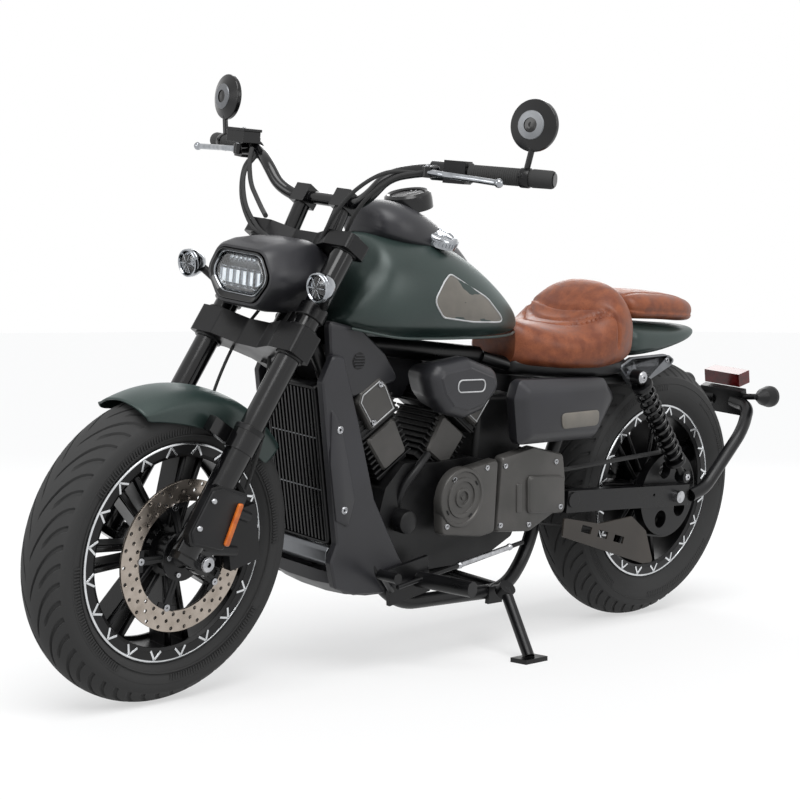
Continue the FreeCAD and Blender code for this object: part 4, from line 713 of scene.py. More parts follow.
def make_headlight():
    """Cowl with a soft nose, a black bezel, a clear lens and two rows of lamps behind it."""
    sizes = ((60, 86, 50, 908, 848, 790, 1166, 26), (68, 96, 56, 918, 846, 776, 1200, 32),
             (74, 108, 60, 916, 846, 772, 1240, 36), (76, 111, 62, 910, 844, 774, 1290, 40),
             (72, 105, 60, 902, 842, 780, 1318, 38), (67, 99, 57, 897, 841, 785, 1327, 34),
             (63, 94, 53, 892, 841, 790, 1328, 32), (60, 90, 50, 889, 841, 793, 1322, 30),
             (54, 84, 46, 884, 841, 800, 1262, 26))
    shape = Shape().rings([rounded_box_ring(*size) for size in sizes])
    roof = [[(x, y, z) for y, z in ((-62, 880), (-58, 903 - drop), (-30, 910 - drop), (30, 910 - drop),
                                    (58, 903 - drop), (62, 880))]
            for x, drop in ((1150, 12), (1168, 3), (1200, 0), (1222, 4))]
    shape.rings(roof)
    piece("headlight_shell", shape, "steering", "satin_grey_abs", bevel=1.2, sharp=40,
          stands_for=["headlight_cowl"])
    outer = rounded_box_ring(61, 91, 51, 890, 841, 792, 1330, 30)
    inner = rounded_box_ring(55, 81, 47, 884, 840, 806, 1324, 26)
    lip = [(1331, y * 0.97, 841 + (z - 841) * 0.97) for _, y, z in outer]
    bezel = Shape().rings([outer, lip, inner, [(1300, y, z) for _, y, z in inner]], caps=False)
    piece("headlight_bezel", bezel, "steering", "black_anodised_aluminium", sharp=50)
    back = Shape().rings([rounded_box_ring(55, 81, 47, 884, 840, 806, 1300, 26),
                          rounded_box_ring(53, 78, 45, 881, 840, 809, 1288, 24)])
    piece("headlight_reflector", back, "steering", "bead_blasted_nickel", sharp=40)
    chips, cups = Shape(), Shape()
    for number in range(8):
        y = (number - 3.5) * 12.5
        chips.lathe([(0.3, 2.5), (3, 2), (4, 0)], aimed((1304, y, 871), (1, 0, 0)), 12)
        cups.lathe([(4, 0), (5.6, 5), (6, 5)], aimed((1303, y, 871), (1, 0, 0)), 16)
    for number in range(7):
        y = (number - 3) * 19
        for shift in (-3.8, 3.8):
            chips.block((1306, y + shift, 836), (4, 4.6, 24))
        cups.rings([[(x, y + sy * w, 836 + sz * h) for sy, sz in ((-1, -1), (1, -1), (1, 1), (-1, 1))]
                    for x, w, h in ((1303, 6, 13), (1313, 8.6, 18), (1313, 9.2, 18.6))], caps=False)
    rim = [rounded_box_ring(55 + g, 81 + g, 47 + g, 884 + g, 840, 806 - g, x, 26 + g)
           for x, g in ((1320, -1.5), (1326, -1), (1328, 0.6), (1327, 2.2), (1322, 2.6))]
    cups.rings(rim, caps=False)
    piece("headlight_chips", chips, "steering", "led_chip", bevel=0.4)
    piece("headlight_cups", cups, "steering", "chromed_brass")
    lens = Shape().rings([rounded_box_ring(54, 80, 46, 883, 840, 807, 1318, 26),
                          rounded_box_ring(53, 79, 45, 882, 840, 808, 1323, 25),
                          rounded_box_ring(46, 70, 38, 875, 840, 814, 1326, 20)])
    piece("headlight_lens", lens, "steering", "clear_polycarbonate", sharp=60,
          stands_for=["headlight"])


def make_indicators():
    """Chromed front indicators with ribbed lenses on black stalks, and the rear ones' amber lenses."""
    faces, rims, bodies, stalks = (Shape() for _ in range(4))
    for sign in SIDES:
        place = aimed((1299, 191 * sign, 841), (1, 0, -0.12))
        faces.lathe([(0.5, 4), (8, 3.4), (16, 1.8), (24, -2), (25, -5)], place, 32)
        for spin in turns(place, 6):
            rims.block((12, 0, 2), (20, 2, 3), spin)
        rims.lathe([(24, 0), (26, 3), (28.6, 2), (29, -3)], place, 40)
        bodies.lathe([(27, -2), (29, -5), (28.5, -12), (25, -24), (17, -35), (8, -41), (0.5, -43)], place, 40)
        stalks.rod((1268, 188 * sign, 838), (1222, 132 * sign, 786), 8.5, 9.5, 16)
        clamp = [fork_point(TUBE_AHEAD, TUBE_OUT * sign, along) for along in (514, 542)]
        stalks.rod(*clamp, 29.5, 29.5, 40)
    piece("front_indicator_bodies", bodies, "steering", "chromed_brass")
    piece("front_indicator_stalks", stalks, "steering", "powder_coated_steel", bevel=1,
          stands_for=["front_indicators"])
    piece("front_indicator_lenses", faces, "steering", "clear_polycarbonate")
    piece("front_indicator_rims", rims, "steering", "chromed_brass", bevel=0.3)
    amber = Shape()
    for sign in SIDES:
        place = aimed((-366, 134 * sign, 562), (-1, 0, 0))
        amber.lathe([(0.5, 3), (10, 2.4), (22, 0), (25, -4)], place, 32)
    piece("rear_indicator_lenses", amber, "chassis", "amber_acrylic")


GRIP_START = Vector((1086, 240, 1081))
BAR_END = Vector((991, 490, 1088))
GRIP_RIBS = 26


def bar_point(along, sign=1):
    """A point on the bar's straight end, from the grip's start at 0 to the bar's end at 1."""
    point = GRIP_START.lerp(BAR_END, along)
    return Vector((point.x, point.y * sign, point.z))


def ball(radius):
    """The outline of a ball, for a lathe."""
    angles = (0.1, 0.5, 0.9, 1.3, 1.7, 2.1, 2.5, 2.9, 3.05)
    return [(radius * math.sin(angle), -radius * math.cos(angle)) for angle in angles]


def make_levers():
    """Chromed blades with ball ends, black perches and the brake fluid box."""
    blades, perches, screws = Shape(), Shape(), Shape()
    for sign in SIDES:
        perch = bar_point(0.12, sign)
        pivot = perch + Vector((40, 4 * sign, -4))
        knee = bar_point(0.4, sign) + Vector((62, 0, -8))
        tip = bar_point(0.78, sign) + Vector((78, 0, -14))
        blades.pipe(smooth_line([pivot, pivot.lerp(knee, 0.55) + Vector((7, 0, 0)), knee,
                                 knee.lerp(tip, 0.6) + Vector((-3, 0, 0)), tip], 6), 6.2, 14)
        blades.lathe(ball(9), aimed(tip, tip - knee), 20)
        perches.rod(bar_point(0.06, sign), bar_point(0.18, sign), 19, 19, 28)
        perches.rod(perch, pivot, 14, 11, 20)
        perches.rod(pivot + Vector((0, 0, 11)), pivot - Vector((0, 0, 11)), 10, 10, 20)
        screws.rod(pivot + Vector((0, 0, 9)), pivot + Vector((0, 0, 14)), 5, 5, 6)
    box = bar_point(0.10, -1) + Vector((34, 0, 26))
    perches.block(box - Vector((0, 0, 3)), (48, 54, 24))
    perches.block(box + Vector((0, 0, 12)), (52, 58, 6))
    for x, y in ((-1, -1), (1, 1)):
        screws.rod(box + Vector((19 * x, 22 * y, 14)), box + Vector((19 * x, 22 * y, 17)), 3.5, 3.5, 12)
    piece("lever_blades", blades, "steering", "chromed_brass", stands_for=["levers"])
    piece("lever_perches", perches, "steering", "black_anodised_aluminium", bevel=2)
    piece("lever_screws", screws, "steering", "zinc_plated_steel", bevel=0.4)


def make_controls():
    """Ribbed grips, mirror rings and glass, bar clamps, and the cables from the levers."""
    grips, rings, glass, clamps, cables = (Shape() for _ in range(5))
    for sign in SIDES:
        start, end = bar_point(0.36, sign), bar_point(0.99, sign)
        length = (end - start).length
        profile = [(13.2, 0), (19, 0), (19.5, 3), (17, 6)]
        for number in range(GRIP_RIBS):
            h = 8 + (length * 0.72 - 8) * number / GRIP_RIBS
            profile += [(16.2, h), (17.1, h + 0.8), (17.1, h + 3), (16.2, h + 3.8)]
        profile += [(17, length * 0.74), (18, length * 0.76), (17.6, length - 4), (16, length), (10, length),
                    (9, length - 2), (0.5, length - 2)]
        grips.lathe(profile, aimed(start, end - start), 40)
        centre = Vector((1003, 441 * sign, 1186))
        facing = Vector((1, 0.18 * sign, 0.02))
        place = aimed(centre + Vector((10, 0, 0)), facing)
        rings.lathe([(14, 14.5), (27, 13.2), (28, 11.8), (28, 8)], place, 40)
        glass.lathe([(0.3, -9.6), (46, -9.6), (47, -9)], place, 48)
        clamp = bar_point(0.78, sign)
        clamps.lathe([(13.1, -9), (19, -9), (19.6, -7), (19.6, 7), (19, 9), (13.1, 9)],
                     aimed(clamp, end - start), 32)
        clamps.lathe([(0.5, 5), (4, 5), (5, 3), (5, -6)], aimed(clamp + Vector((18, 0, 4)), (1, 0, 0.2)), 6)
    piece("grip_sleeves", grips, "steering", "grip_rubber", sharp=40, stands_for=["grips"])
    piece("mirror_rings", rings, "steering", "bead_blasted_nickel")
    piece("mirror_glass", glass, "steering", "silvered_glass")
    piece("mirror_clamps", clamps, "steering", "powder_coated_steel")
    routes = [
        [(1098, -232, 1078), (1140, -222, 1040), (1168, -190, 980), (1190, -130, 930), (1200, -70, 912)],
        [(1104, -226, 1070), (1152, -206, 1030), (1176, -168, 972), (1192, -110, 930), (1204, -56, 910)],
        [(1100, 236, 1074), (1150, 200, 1068), (1176, 150, 1030), (1180, 100, 975), (1176, 60, 912)],
        [(1102, 250, 1076), (1140, 214, 1060), (1160, 160, 1010), (1150, 110, 950), (1130, 84, 900)]]
    for route in routes:
        cables.pipe(smooth_line(route), 4.2, 10)
    brake_hose = [(1216, 40, 778), (1252, 30, 700), (1284, 66, 600), (1310, 86, 520), (1340, 88, 430)]
    wire = [(1236, -30, 770), (1262, -64, 700), (1290, -84, 600), (1300, -90, 520)]
    cables.pipe(smooth_line(brake_hose), 4, 10)
    cables.pipe(smooth_line(wire), 3.4, 10)
    piece("control_cables", cables, "steering", "grip_rubber")


# ---------------------------------------------------------------- tank and seats

SEAT_POINTS = 110


def oval(x, low, top, half, middle, sharp_top=2.0, sharp_low=2.4, count=24, tilt=0.0):
    """A crosswise ring that is widest at its middle height."""
    ring = []
    for number in range(count):
        angle = 2 * math.pi * number / count
        c, s = math.cos(angle), math.sin(angle)
        power = sharp_top if s > 0 else sharp_low
        y = half * math.copysign(abs(c) ** (2 / power), c)
        reach = top - middle if s > 0 else middle - low
        z = middle + reach * math.copysign(abs(s) ** (2 / power), s)
        ring.append((x - (z - low) * tilt, y, z))
    return ring


def make_tank():
    """The teardrop tank with the seam along its foot."""
    stations = ((1124, 752, 890, 80, 800, 2.2, 2.6, 0.62), (1108, 738, 905, 104, 792, 2.2, 2.6, 0.50),
                (1060, 726, 928, 130, 786, 2.2, 2.8, 0.22), (1000, 718, 940, 144, 786, 2.2, 2.8, 0.0),
                (900, 716, 952, 152, 788, 2.1, 2.8, 0.0), (800, 716, 928, 149, 784, 2.1, 2.8, 0.0),
                (700, 716, 878, 130, 770, 2.1, 2.6, 0.0), (630, 718, 834, 106, 756, 2.1, 2.4, 0.0),
                (580, 722, 800, 78, 748, 2.0, 2.2, 0.0), (560, 728, 782, 56, 748, 2.0, 2.0, 0.0))
    rings = [oval(*station[:-1], tilt=station[-1]) for station in stations]
    tank = piece("fuel_tank_shell", Shape().rings(rings), "chassis", "satin_green_lacquer",
                 subdivide=2, stands_for=["fuel_tank"])
    seam = Shape()
    edge = ((1096, 96, 744), (1000, 132, 729), (900, 140, 727), (800, 137, 727), (700, 118, 726),
            (620, 94, 727), (570, 62, 729))
    for sign in SIDES:
        seam.pipe(smooth_line([(x, y * sign, z) for x, y, z in edge]), 3, 8)
    piece("tank_seam", seam, "chassis", "satin_green_lacquer")
    return tank


def make_badge(tank):
    """A blank plate let into the tank's side, with a bright edge: its outline is laid onto the skin."""
    leaf = [(862, 862, 18), (884, 846, 12), (918, 806, 22), (888, 772, 26), (790, 762, 60), (664, 758, 10),
            (742, 812, 120)]
    outline = rounded(leaf, 20, 5)
    bpy.context.view_layer.update()
    skin = tank.evaluated_get(bpy.context.evaluated_depsgraph_get())
    to_tank = PARKED.inverted()
    for side, sign in zip(("left", "right"), SIDES):
        def lay(x, z, lift):
            origin = PARKED @ Vector((x, 260 * sign, z))
            towards = PARKED.to_3x3() @ Vector((0, -sign, 0))
            hit, where, normal, _ = skin.ray_cast(origin, towards.normalized())
            return to_tank @ (where + normal * lift / 1000) if hit else Vector((x, 150 * sign, z))

        centre = Vector([sum(point[i] for point in outline) / len(outline) for i in (0, 1)])
        rings = []
        for share in (1.0, 0.8, 0.6, 0.4, 0.2, 0.02):
            rings.append([lay(centre.x + (x - centre.x) * share, centre.y + (z - centre.y) * share, 0.9)
                          for x, z in outline])
        piece("tank_plate_" + side, Shape().rings(rings, caps=False), "chassis", "grey_film")
        edge = [lay(x, z, 0.8) for x, z in outline]
        piece("tank_plate_edge_" + side, Shape().pipe(edge, 1.9, 8, closed=True), "chassis", "white_enamel")


def make_console():
    """The saddle over the tank's top, with the instrument hood at its front."""
    stations = ((1004, 930, 988, 52, 950, 2.2, 2.2), (985, 916, 1002, 78, 944, 2.2, 2.2),
                (950, 905, 1008, 94, 935, 2.2, 2.4), (905, 900, 1000, 96, 930, 2.3, 2.4),
                (850, 888, 980, 84, 918, 2.3, 2.4), (790, 868, 950, 66, 896, 2.3, 2.4),
                (735, 846, 918, 46, 870, 2.2, 2.2), (690, 832, 888, 28, 852, 2.0, 2.0),
                (676, 834, 876, 18, 852, 2.0, 2.0))
    rings = [oval(*station, 20) for station in stations]
    piece("tank_console_shell", Shape().rings(rings), "chassis", "satin_grey_abs", subdivide=2,
          stands_for=["tank_console"])
    dial, bezel, marks = Shape(), Shape(), Shape()
    place = Matrix.Translation((868, 0, 992)) @ Matrix.Rotation(math.radians(16), 4, "Y")
    bezel.lathe([(38, 30), (44, 33), (50, 28), (52, 16), (52, -4)], place, 64)
    dial.lathe([(0.5, 28), (38, 28), (40, 27)], place, 48)
    for number in range(13):
        angle = math.radians(-30 + 20 * number)
        marks.block((0, 31, 28.6), (1.6, 6, 0.6), place @ Matrix.Rotation(angle - math.pi / 2, 4, "Z"))
    marks.block((0, 12, 29.2), (1.4, 26, 0.8), place @ Matrix.Rotation(math.radians(60), 4, "Z"))
    piece("instrument_hood", bezel, "chassis", "black_anodised_aluminium",
          stands_for=["instrument"])
    piece("instrument_dial", dial, "chassis", "moulded_polypropylene")
    piece("instrument_marks", marks, "chassis", "white_enamel")
    cap, knurl = Shape(), Shape()
    place = Matrix.Translation((846, 78, 934)) @ Matrix.Rotation(math.radians(-24), 4, "X")
    cap.lathe([(0.5, 11), (12, 11), (14, 9), (26, 8), (29, 10.5), (35, 10), (39, 6), (40, 2), (40, -10)],
              place, 64)
    for spin in turns(place, 30):
        knurl.block((40, 0, 0), (3, 3, 9), spin)
    for spin in turns(place, 3):
        knurl.block((19, 0, 9), (13, 4, 3), spin)
    piece("fuel_cap_body", cap, "chassis", "chromed_brass", stands_for=["fuel_cap"])
    piece("fuel_cap_knurl", knurl, "chassis", "chromed_brass", bevel=0.5)


def seat_cover(name, keys, detail, powers, cut, node_name, subdivide=0):
    """A padded cover through stations (x, low, top, half width, middle height), with sewn lines cut in."""
    fine = smooth_line([Vector(key[:3]) for key in keys], detail)
    more = smooth_line([Vector((*key[3:], 0)) for key in keys], detail)
    rings = []
    for (x, low, top), (half, middle, _) in zip(fine, more):
        ring = []
        for a, b, c in oval(x, low, top, half, middle, *powers, SEAT_POINTS):
            keep = 1 - cut(a, b, c - middle, half) / max(math.hypot(b, c - middle), 20)
            ring.append((a, b * keep, middle + (c - middle) * keep))
        rings.append(ring)
    cover = piece(name, Shape().rings(rings), "chassis", "waxed_cowhide", subdivide=subdivide,
                  stands_for=[node_name])


def stitch(distance, depth, width):
    """The depth of a sewn line at a distance from its middle."""
    return depth * math.exp(-(distance / width) ** 2)


def rider_channels(a, b, height, _):
    """Three channels curve across the hump, and a seam runs round its side."""
    deep = 0
    if height > -6:
        bend = 1 - min(abs(b) / 138, 1) ** 2
        deep = max(stitch(a - (300 + (centre - 300) * bend), 8, 3.8) for centre in (345, 385, 425))
    return deep + (stitch(height + 4, 2.5, 2.5) if a > 250 else 0)


def pillion_channels(_, b, height, half):
    """A seam runs along each side of the pad's top, and one round its edge."""
    deep = stitch(abs(b) - half * 0.62, 4, 2.6) if height > 0 else 0
    return max(deep, stitch(height, 2.5, 2))


def make_seats():
    """Padded leather: the rider's seat rises into a hump, over a black pan; the pad behind is flat."""
    seat_cover("rider_seat_cover", (
        (566, 652, 758, 66, 698), (545, 646, 757, 88, 696), (500, 644, 751, 114, 690),
        (450, 642, 746, 134, 688), (405, 641, 747, 144, 690), (365, 640, 762, 149, 694),
        (335, 640, 790, 151, 700), (305, 642, 822, 150, 708), (275, 645, 842, 145, 714),
        (246, 650, 843, 136, 716), (218, 660, 818, 122, 716), (206, 690, 780, 104, 730)),
        12, (2.5, 3.4), rider_channels, "rider_seat")
    pan = ((572, 640, 40), (560, 628, 70), (480, 622, 104), (380, 620, 126), (280, 624, 128), (215, 632, 112),
           (196, 645, 92))
    piece("seat_pan", Shape().rings([oval(x, low, 672, half, 650, 3.4, 3.4, 40) for x, low, half in pan]),
          "chassis", "moulded_polypropylene", sharp=60)
    seat_cover("pillion_pad_cover", (
        (184, 762, 806, 66, 782), (172, 758, 818, 84, 780), (140, 756, 824, 92, 778), (90, 755, 824, 92, 778),
        (40, 754, 822, 91, 776), (-10, 752, 818, 87, 774), (-50, 750, 812, 79, 772), (-78, 750, 804, 66, 770),
        (-92, 756, 790, 48, 770)), 6, (3.0, 3.0), pillion_channels, "pillion_seat", subdivide=1)


def make_tail():
    """The short rear fender under the pad, and its struts' faces and bolts."""
    stations = ((200, 664, 752, 104, 692, 3.4, 2.6), (150, 664, 750, 103, 692, 3.4, 2.6),
                (60, 672, 746, 98, 696, 3.2, 2.4), (-10, 688, 742, 91, 706, 3.0, 2.4),
                (-60, 702, 740, 82, 714, 2.8, 2.4), (-96, 716, 740, 66, 724, 2.6, 2.2),
                (-108, 724, 738, 50, 730, 2.2, 2.0))
    piece("tail_cowl_shell", Shape().rings([oval(*station) for station in stations]),
          "chassis", "satin_green_lacquer", subdivide=2,
          stands_for=["tail_cowl"])
    bolts, struts = Shape(), Shape()
    for sign in SIDES:
        corners = [(168, 604), (206, 606), (256, 652), (210, 672), (80, 678), (48, 668), (60, 650)]
        struts.plate(corners, [(110 * sign, 0), (119 * sign, 0), (122 * sign, 2.5)], 10)
        for x, z, r in ((215, 630, 15), (78, 664, 6)):
            place = sideways(x, (162 if r > 10 else 122) * sign, z, sign)
            bolts.lathe([(3, 1), (r * 0.45, 1), (r * 0.5, 3), (r * 0.8, 3), (r, 0), (r, -3)], place, 24)
    piece("strut_faces", struts, "chassis", "bead_blasted_nickel", bevel=0.6)
    piece("strut_bolts", bolts, "chassis", "zinc_plated_steel")


# ---------------------------------------------------------------- engine

def make_cylinders():
    """Finned barrels, heads, and the plates on their sides with their enamelled outlines."""
    iron, plates, trim, bolts = (Shape() for _ in range(4))
    for lean in (CYLINDER_LEAN, -CYLINDER_LEAN):
        def seat(distance):
            """A place on the cylinder's axis at a distance from the crank."""
            x, z = CRANK.x + distance * math.sin(lean), CRANK.z + distance * math.cos(lean)
            return Matrix.Translation((x, 0, z)) @ Matrix.Rotation(lean, 4, "Y")

        iron.block((0, 0, 0), (92, 106, 116), seat(148))
        for number in range(8):
            iron.block((0, 0, 0), (112, 130, 4), seat(106 + 13 * number))
        iron.block((0, 0, 0), (112, 146, 104), seat(262))
        for number in range(4):
            iron.block((0, 0, 0), (118, 152, 4), seat(216 + 12 * number))
        for way in SIDES:
            corners = [(-44, -46), (38, -46), (44, 30), (26, 46), (-34, 46), (-46, 22)]
            place = seat(270)
            plates.plate(corners, [(70 * way, 0), (84 * way, 0), (90 * way, 4), (91 * way, 10)], 8, place)
            line = [(x, 91.5 * way, z) for x, z in inset(rounded(corners, 8), 9)]
            trim.pipe(line, 1.3, 6, place, closed=True)
            for x, z in ((-28, 30), (26, -30)):
                bolts.lathe([(2, 1), (4, 1), (5, 3), (6, 3), (7, 0), (7, -2)],
                            place @ sideways(x, 92 * way, z, way), 16)
            lower = [(-40, -48), (34, -48), (44, 40), (-44, 40)]
            plates.plate(lower, [(52 * way, 0), (66 * way, 0), (71 * way, 4)], 8, seat(160))
    piece("cylinder_castings", iron, "chassis", "black_cast_iron", bevel=1.0,
          stands_for=["cylinders"])
    piece("cylinder_plates", plates, "chassis", "charcoal_cast_aluminium", bevel=0.6)
    piece("cylinder_lines", trim, "chassis", "white_enamel")
    piece("cylinder_bolts", bolts, "chassis", "zinc_plated_steel")


def make_engine_covers():
    """The long left casing with its round cover and raised box, and the right casing."""
    case, rings, dark, bolts = (Shape() for _ in range(4))
    front = [(655, 290), (700, 284), (822, 298), (834, 376), (798, 434), (662, 458)]
    rear = [(651, 290), (651, 459), (548, 478), (443, 456), (427, 395), (457, 318), (537, 282)]
    case.plate(front, [(110, 0), (128, 0), (134, 3), (136, 8)], 12)
    case.plate(rear, [(110, 0), (127, 0), (133, 3), (135, 8)], 12)
    case.plate([(568, 415), (442, 406), (430, 318), (556, 326)], [(130, 0), (139, 0), (144, 4), (145, 9)], 14)
    case.plate([(600, 398), (582, 398), (574, 330), (592, 330)], [(132, 0), (138, 1), (139, 4)], 4)
    place = sideways(773, 120, 379, 1)
    rings.lathe([(66, -2), (66, 17), (64, 20), (58, 21), (56, 18), (45, 18), (44, 21), (36, 21), (35, 18),
                 (22, 18), (21, 21), (15, 22), (14, 18), (5, 18), (4, 21), (0.5, 21)], place, 72)
    for number in range(4):
        dark.block((51, 0, 19), (3, 11, 2), place @ Matrix.Rotation(math.pi * (number / 2 + 0.2), 4, "Z"))
    right = [(900, 280), (915, 380), (850, 440), (700, 450), (640, 380), (660, 290), (780, 250)]
    case.plate(right, [(-80, 0), (-112, 0), (-118, 4), (-120, 10)], 14)
    rings.lathe([(72, -2), (72, 18), (69, 22), (58, 23), (56, 19), (30, 19), (28, 22), (0.5, 22)],
                sideways(800, -120, 350, -1), 72)
    for x, z, y in ((640, 440, 135), (640, 306, 135), (812, 318, 136), (700, 440, 136), (470, 440, 135),
                    (800, 420, 136), (545, 300, 135), (452, 336, 145), (890, 300, -120), (896, 390, -120),
                    (740, 440, -120), (660, 380, -120), (690, 290, -120)):
        bolts.lathe([(2, 0.5), (3.5, 0.5), (4, 2.5), (6, 2.5), (7, 0), (7, -2)],
                    sideways(x, y, z, 1 if y > 0 else -1), 16)
    piece("engine_casing", case, "chassis", "charcoal_cast_aluminium", bevel=0.8,
          stands_for=["engine_covers"])
    piece("engine_round_covers", rings, "chassis", "charcoal_cast_aluminium", sharp=40)
    piece("engine_cover_marks", dark, "chassis", "black_cast_iron", bevel=0.3)
    piece("engine_bolts", bolts, "chassis", "zinc_plated_steel")


def make_side_plates():
    """Intake cover, side covers and neck covers: rounded shells with blank plates."""
    shells, blanks, lines, bolts, dark = (Shape() for _ in range(5))
    intake = [(909, 646), (888, 673), (799, 686), (711, 659), (697, 619), (744, 568), (798, 553), (854, 566),
              (888, 599)]
    cover = [(624, 632), (334, 630), (292, 588), (352, 490), (612, 486), (636, 590)]
    neck = [(1134, 655), (1150, 760), (1057, 740), (987, 690), (942, 634), (1071, 600)]
    for sign in SIDES:
        if sign > 0:
            shells.plate(intake, [(60, 14), (96, 6), (112, 0), (138, 0), (150, 6), (157, 16), (160, 30)], 22)
            shells.plate(inset(rounded(intake, 20, 2), 18), [(150, 0), (158, 1), (160.5, 4)], 2)
        else:
            shells.plate(intake, [(-60, 14), (-96, 6), (-108, 3), (-112, 12)], 22)
        shells.plate(cover, [(112 * sign, 4), (120 * sign, 0), (140 * sign, 0), (156 * sign, 14),
                             (162 * sign, 26)], 18)
        blanks.plate([(500, 556), (366, 560), (366, 524), (490, 520)],
                     [(158 * sign, 0), (164 * sign, 0), (166 * sign, 3)], 14)
        shells.plate(neck, [(70 * sign, 0), (84 * sign, 0), (88 * sign, 4)], 12)
        vent = sideways(1062, 88 * sign, 676, sign)
        dark.lathe([(0.5, 0.6), (17, 0.6), (18, 0)], vent, 32)
        for number in range(5):
            shells.block((0, -12 + 6 * number, 1.5), (32 - abs(number - 2) * 5, 2.4, 3), vent)
        bolts.lathe([(2, 1), (4, 1), (5, 3), (7, 2), (8, -1)], sideways(1112, 88 * sign, 640, sign), 16)
    blank_line = rounded([(838, 640), (756, 640), (756, 614), (838, 614)], 13, 6)
    lines.pipe([(x, 161, z) for x, z in blank_line], 1.6, 8, closed=True)
    piece("body_shells", shells, "chassis", "satin_grey_abs", bevel=0.8,
          stands_for=["intake_cover", "side_covers", "neck_covers"])
    piece("side_cover_plates", blanks, "chassis", "grey_film", bevel=0.6)
    piece("intake_plate_line", lines, "chassis", "white_enamel")
    piece("neck_vents", dark, "chassis", "black_cast_iron")
    piece("shell_bolts", bolts, "chassis", "zinc_plated_steel")


def make_engine_details():
    """The block behind the rear cylinder, the oil filter, a hose and the bright shift rod."""
    block, dark, bright = Shape(), Shape(), Shape()
    block.block((592, 0, 500), (150, 130, 170))
    piece("rear_engine_block", block, "chassis", "black_cast_iron", bevel=12)
    dark.lathe([(20, 0), (25, 4), (26, 40), (24, 50), (15, 54), (0.5, 54)], sideways(905, 62, 330, 1), 40)
    dark.pipe(smooth_line([(905, 70, 352), (900, 84, 400), (872, 92, 440), (838, 86, 470)], 6), 9, 14)
    piece("oil_filter_and_hose", dark, "chassis", "moulded_polypropylene", sharp=50)
    ends = (766, 140, 229.7), (609, 140, 255)
    bright.rod(*ends, 6.2, 6.2, 16)
    for end in ends:
        bright.lathe(ball(8), sideways(*end, 1), 18)
    piece("shift_rod_turnbuckle", bright, "chassis", "zinc_plated_steel")


RADIATOR = Matrix.Translation((1118, 0, 462)) @ Matrix.Rotation(math.radians(12.4), 4, "Y")


def make_radiator():
    """Upright fins in a black frame, two thin bars, a pale tray, and the shroud with its side panels."""
    fins, surround, bars, tray, shroud, bolts = (Shape() for _ in range(6))
    fins.block((-4, 0, 0), (22, 150, 330), RADIATOR)
    for number in range(14):
        fins.block((10, -71.5 + 11 * number, 0), (14, 4.6, 326), RADIATOR)
    ring = [(-80, -172), (80, -172), (80, 172), (-80, 172)]
    levels = [[(x, a, b) for a, b in inset(rounded(ring, 16), amount)] for x, amount in
              ((-17, 0), (15, 0), (18, 3), (18, 7), (8, 9))]
    surround.rings(levels, RADIATOR, caps=False)
    for z in (60, -52):
        bars.block((16.2, 0, z), (1.6, 142, 2), RADIATOR)
    low = RADIATOR @ Vector((0, 0, -176))
    rings = [[(low.x + x, y * w, low.z + z) for y, w in ((-1, 80), (-0.5, 82), (0.5, 82), (1, 80))] +
             [(low.x + x - 26, y * w, low.z + z - 4) for y, w in ((1, 78), (0.5, 78), (-0.5, 78), (-1, 78))]
             for x, z in ((18, -2), (26, -12), (26, -34), (12, -46))]
    tray.rings(rings)
    side = [(1044, 186), (1100, 206), (1118, 262), (1104, 300), (1176, 636), (1152, 690), (1122, 690),
            (1070, 560), (1006, 387), (925, 262), (886, 212), (890, 176)]
    panel = [(1150, 590), (1120, 552), (1066, 392), (1080, 334), (1114, 350), (1142, 470)]
    for sign in SIDES:
        shroud.plate(side, [(92 * sign, 0), (106 * sign, 0), (110 * sign, 4)], 10)
        shroud.plate(panel, [(108 * sign, 0), (113 * sign, 1), (115 * sign, 4)], 6)
        for x, z in ((1124, 540), (1096, 372)):
            bolts.lathe([(3, 1), (5, 1), (6, 3), (8, 2), (9, -1)], sideways(x, 115 * sign, z, sign), 20)
    chin = [[(x, y, z) for y, z in ((-104, top), (-96, low), (-40, low - 5), (40, low - 5), (96, low),
                                    (104, top))]
            for x, top, low in ((1100, 236, 214), (1060, 214, 188), (1000, 206, 178), (930, 200, 176),
                                (892, 196, 178))]
    shroud.rings(chin)
    piece("radiator_fins", fins, "chassis", "black_fin_aluminium", stands_for=["radiator"])
    piece("radiator_surround", surround, "chassis", "powder_coated_steel", sharp=50)
    piece("radiator_bars", bars, "chassis", "bead_blasted_nickel")
    piece("radiator_tray", tray, "chassis", "bead_blasted_nickel", bevel=3)
    piece("radiator_shroud_shell", shroud, "chassis", "satin_grey_abs", bevel=1.0,
          stands_for=["radiator_shroud"])
    piece("radiator_bolts", bolts, "chassis", "zinc_plated_steel")


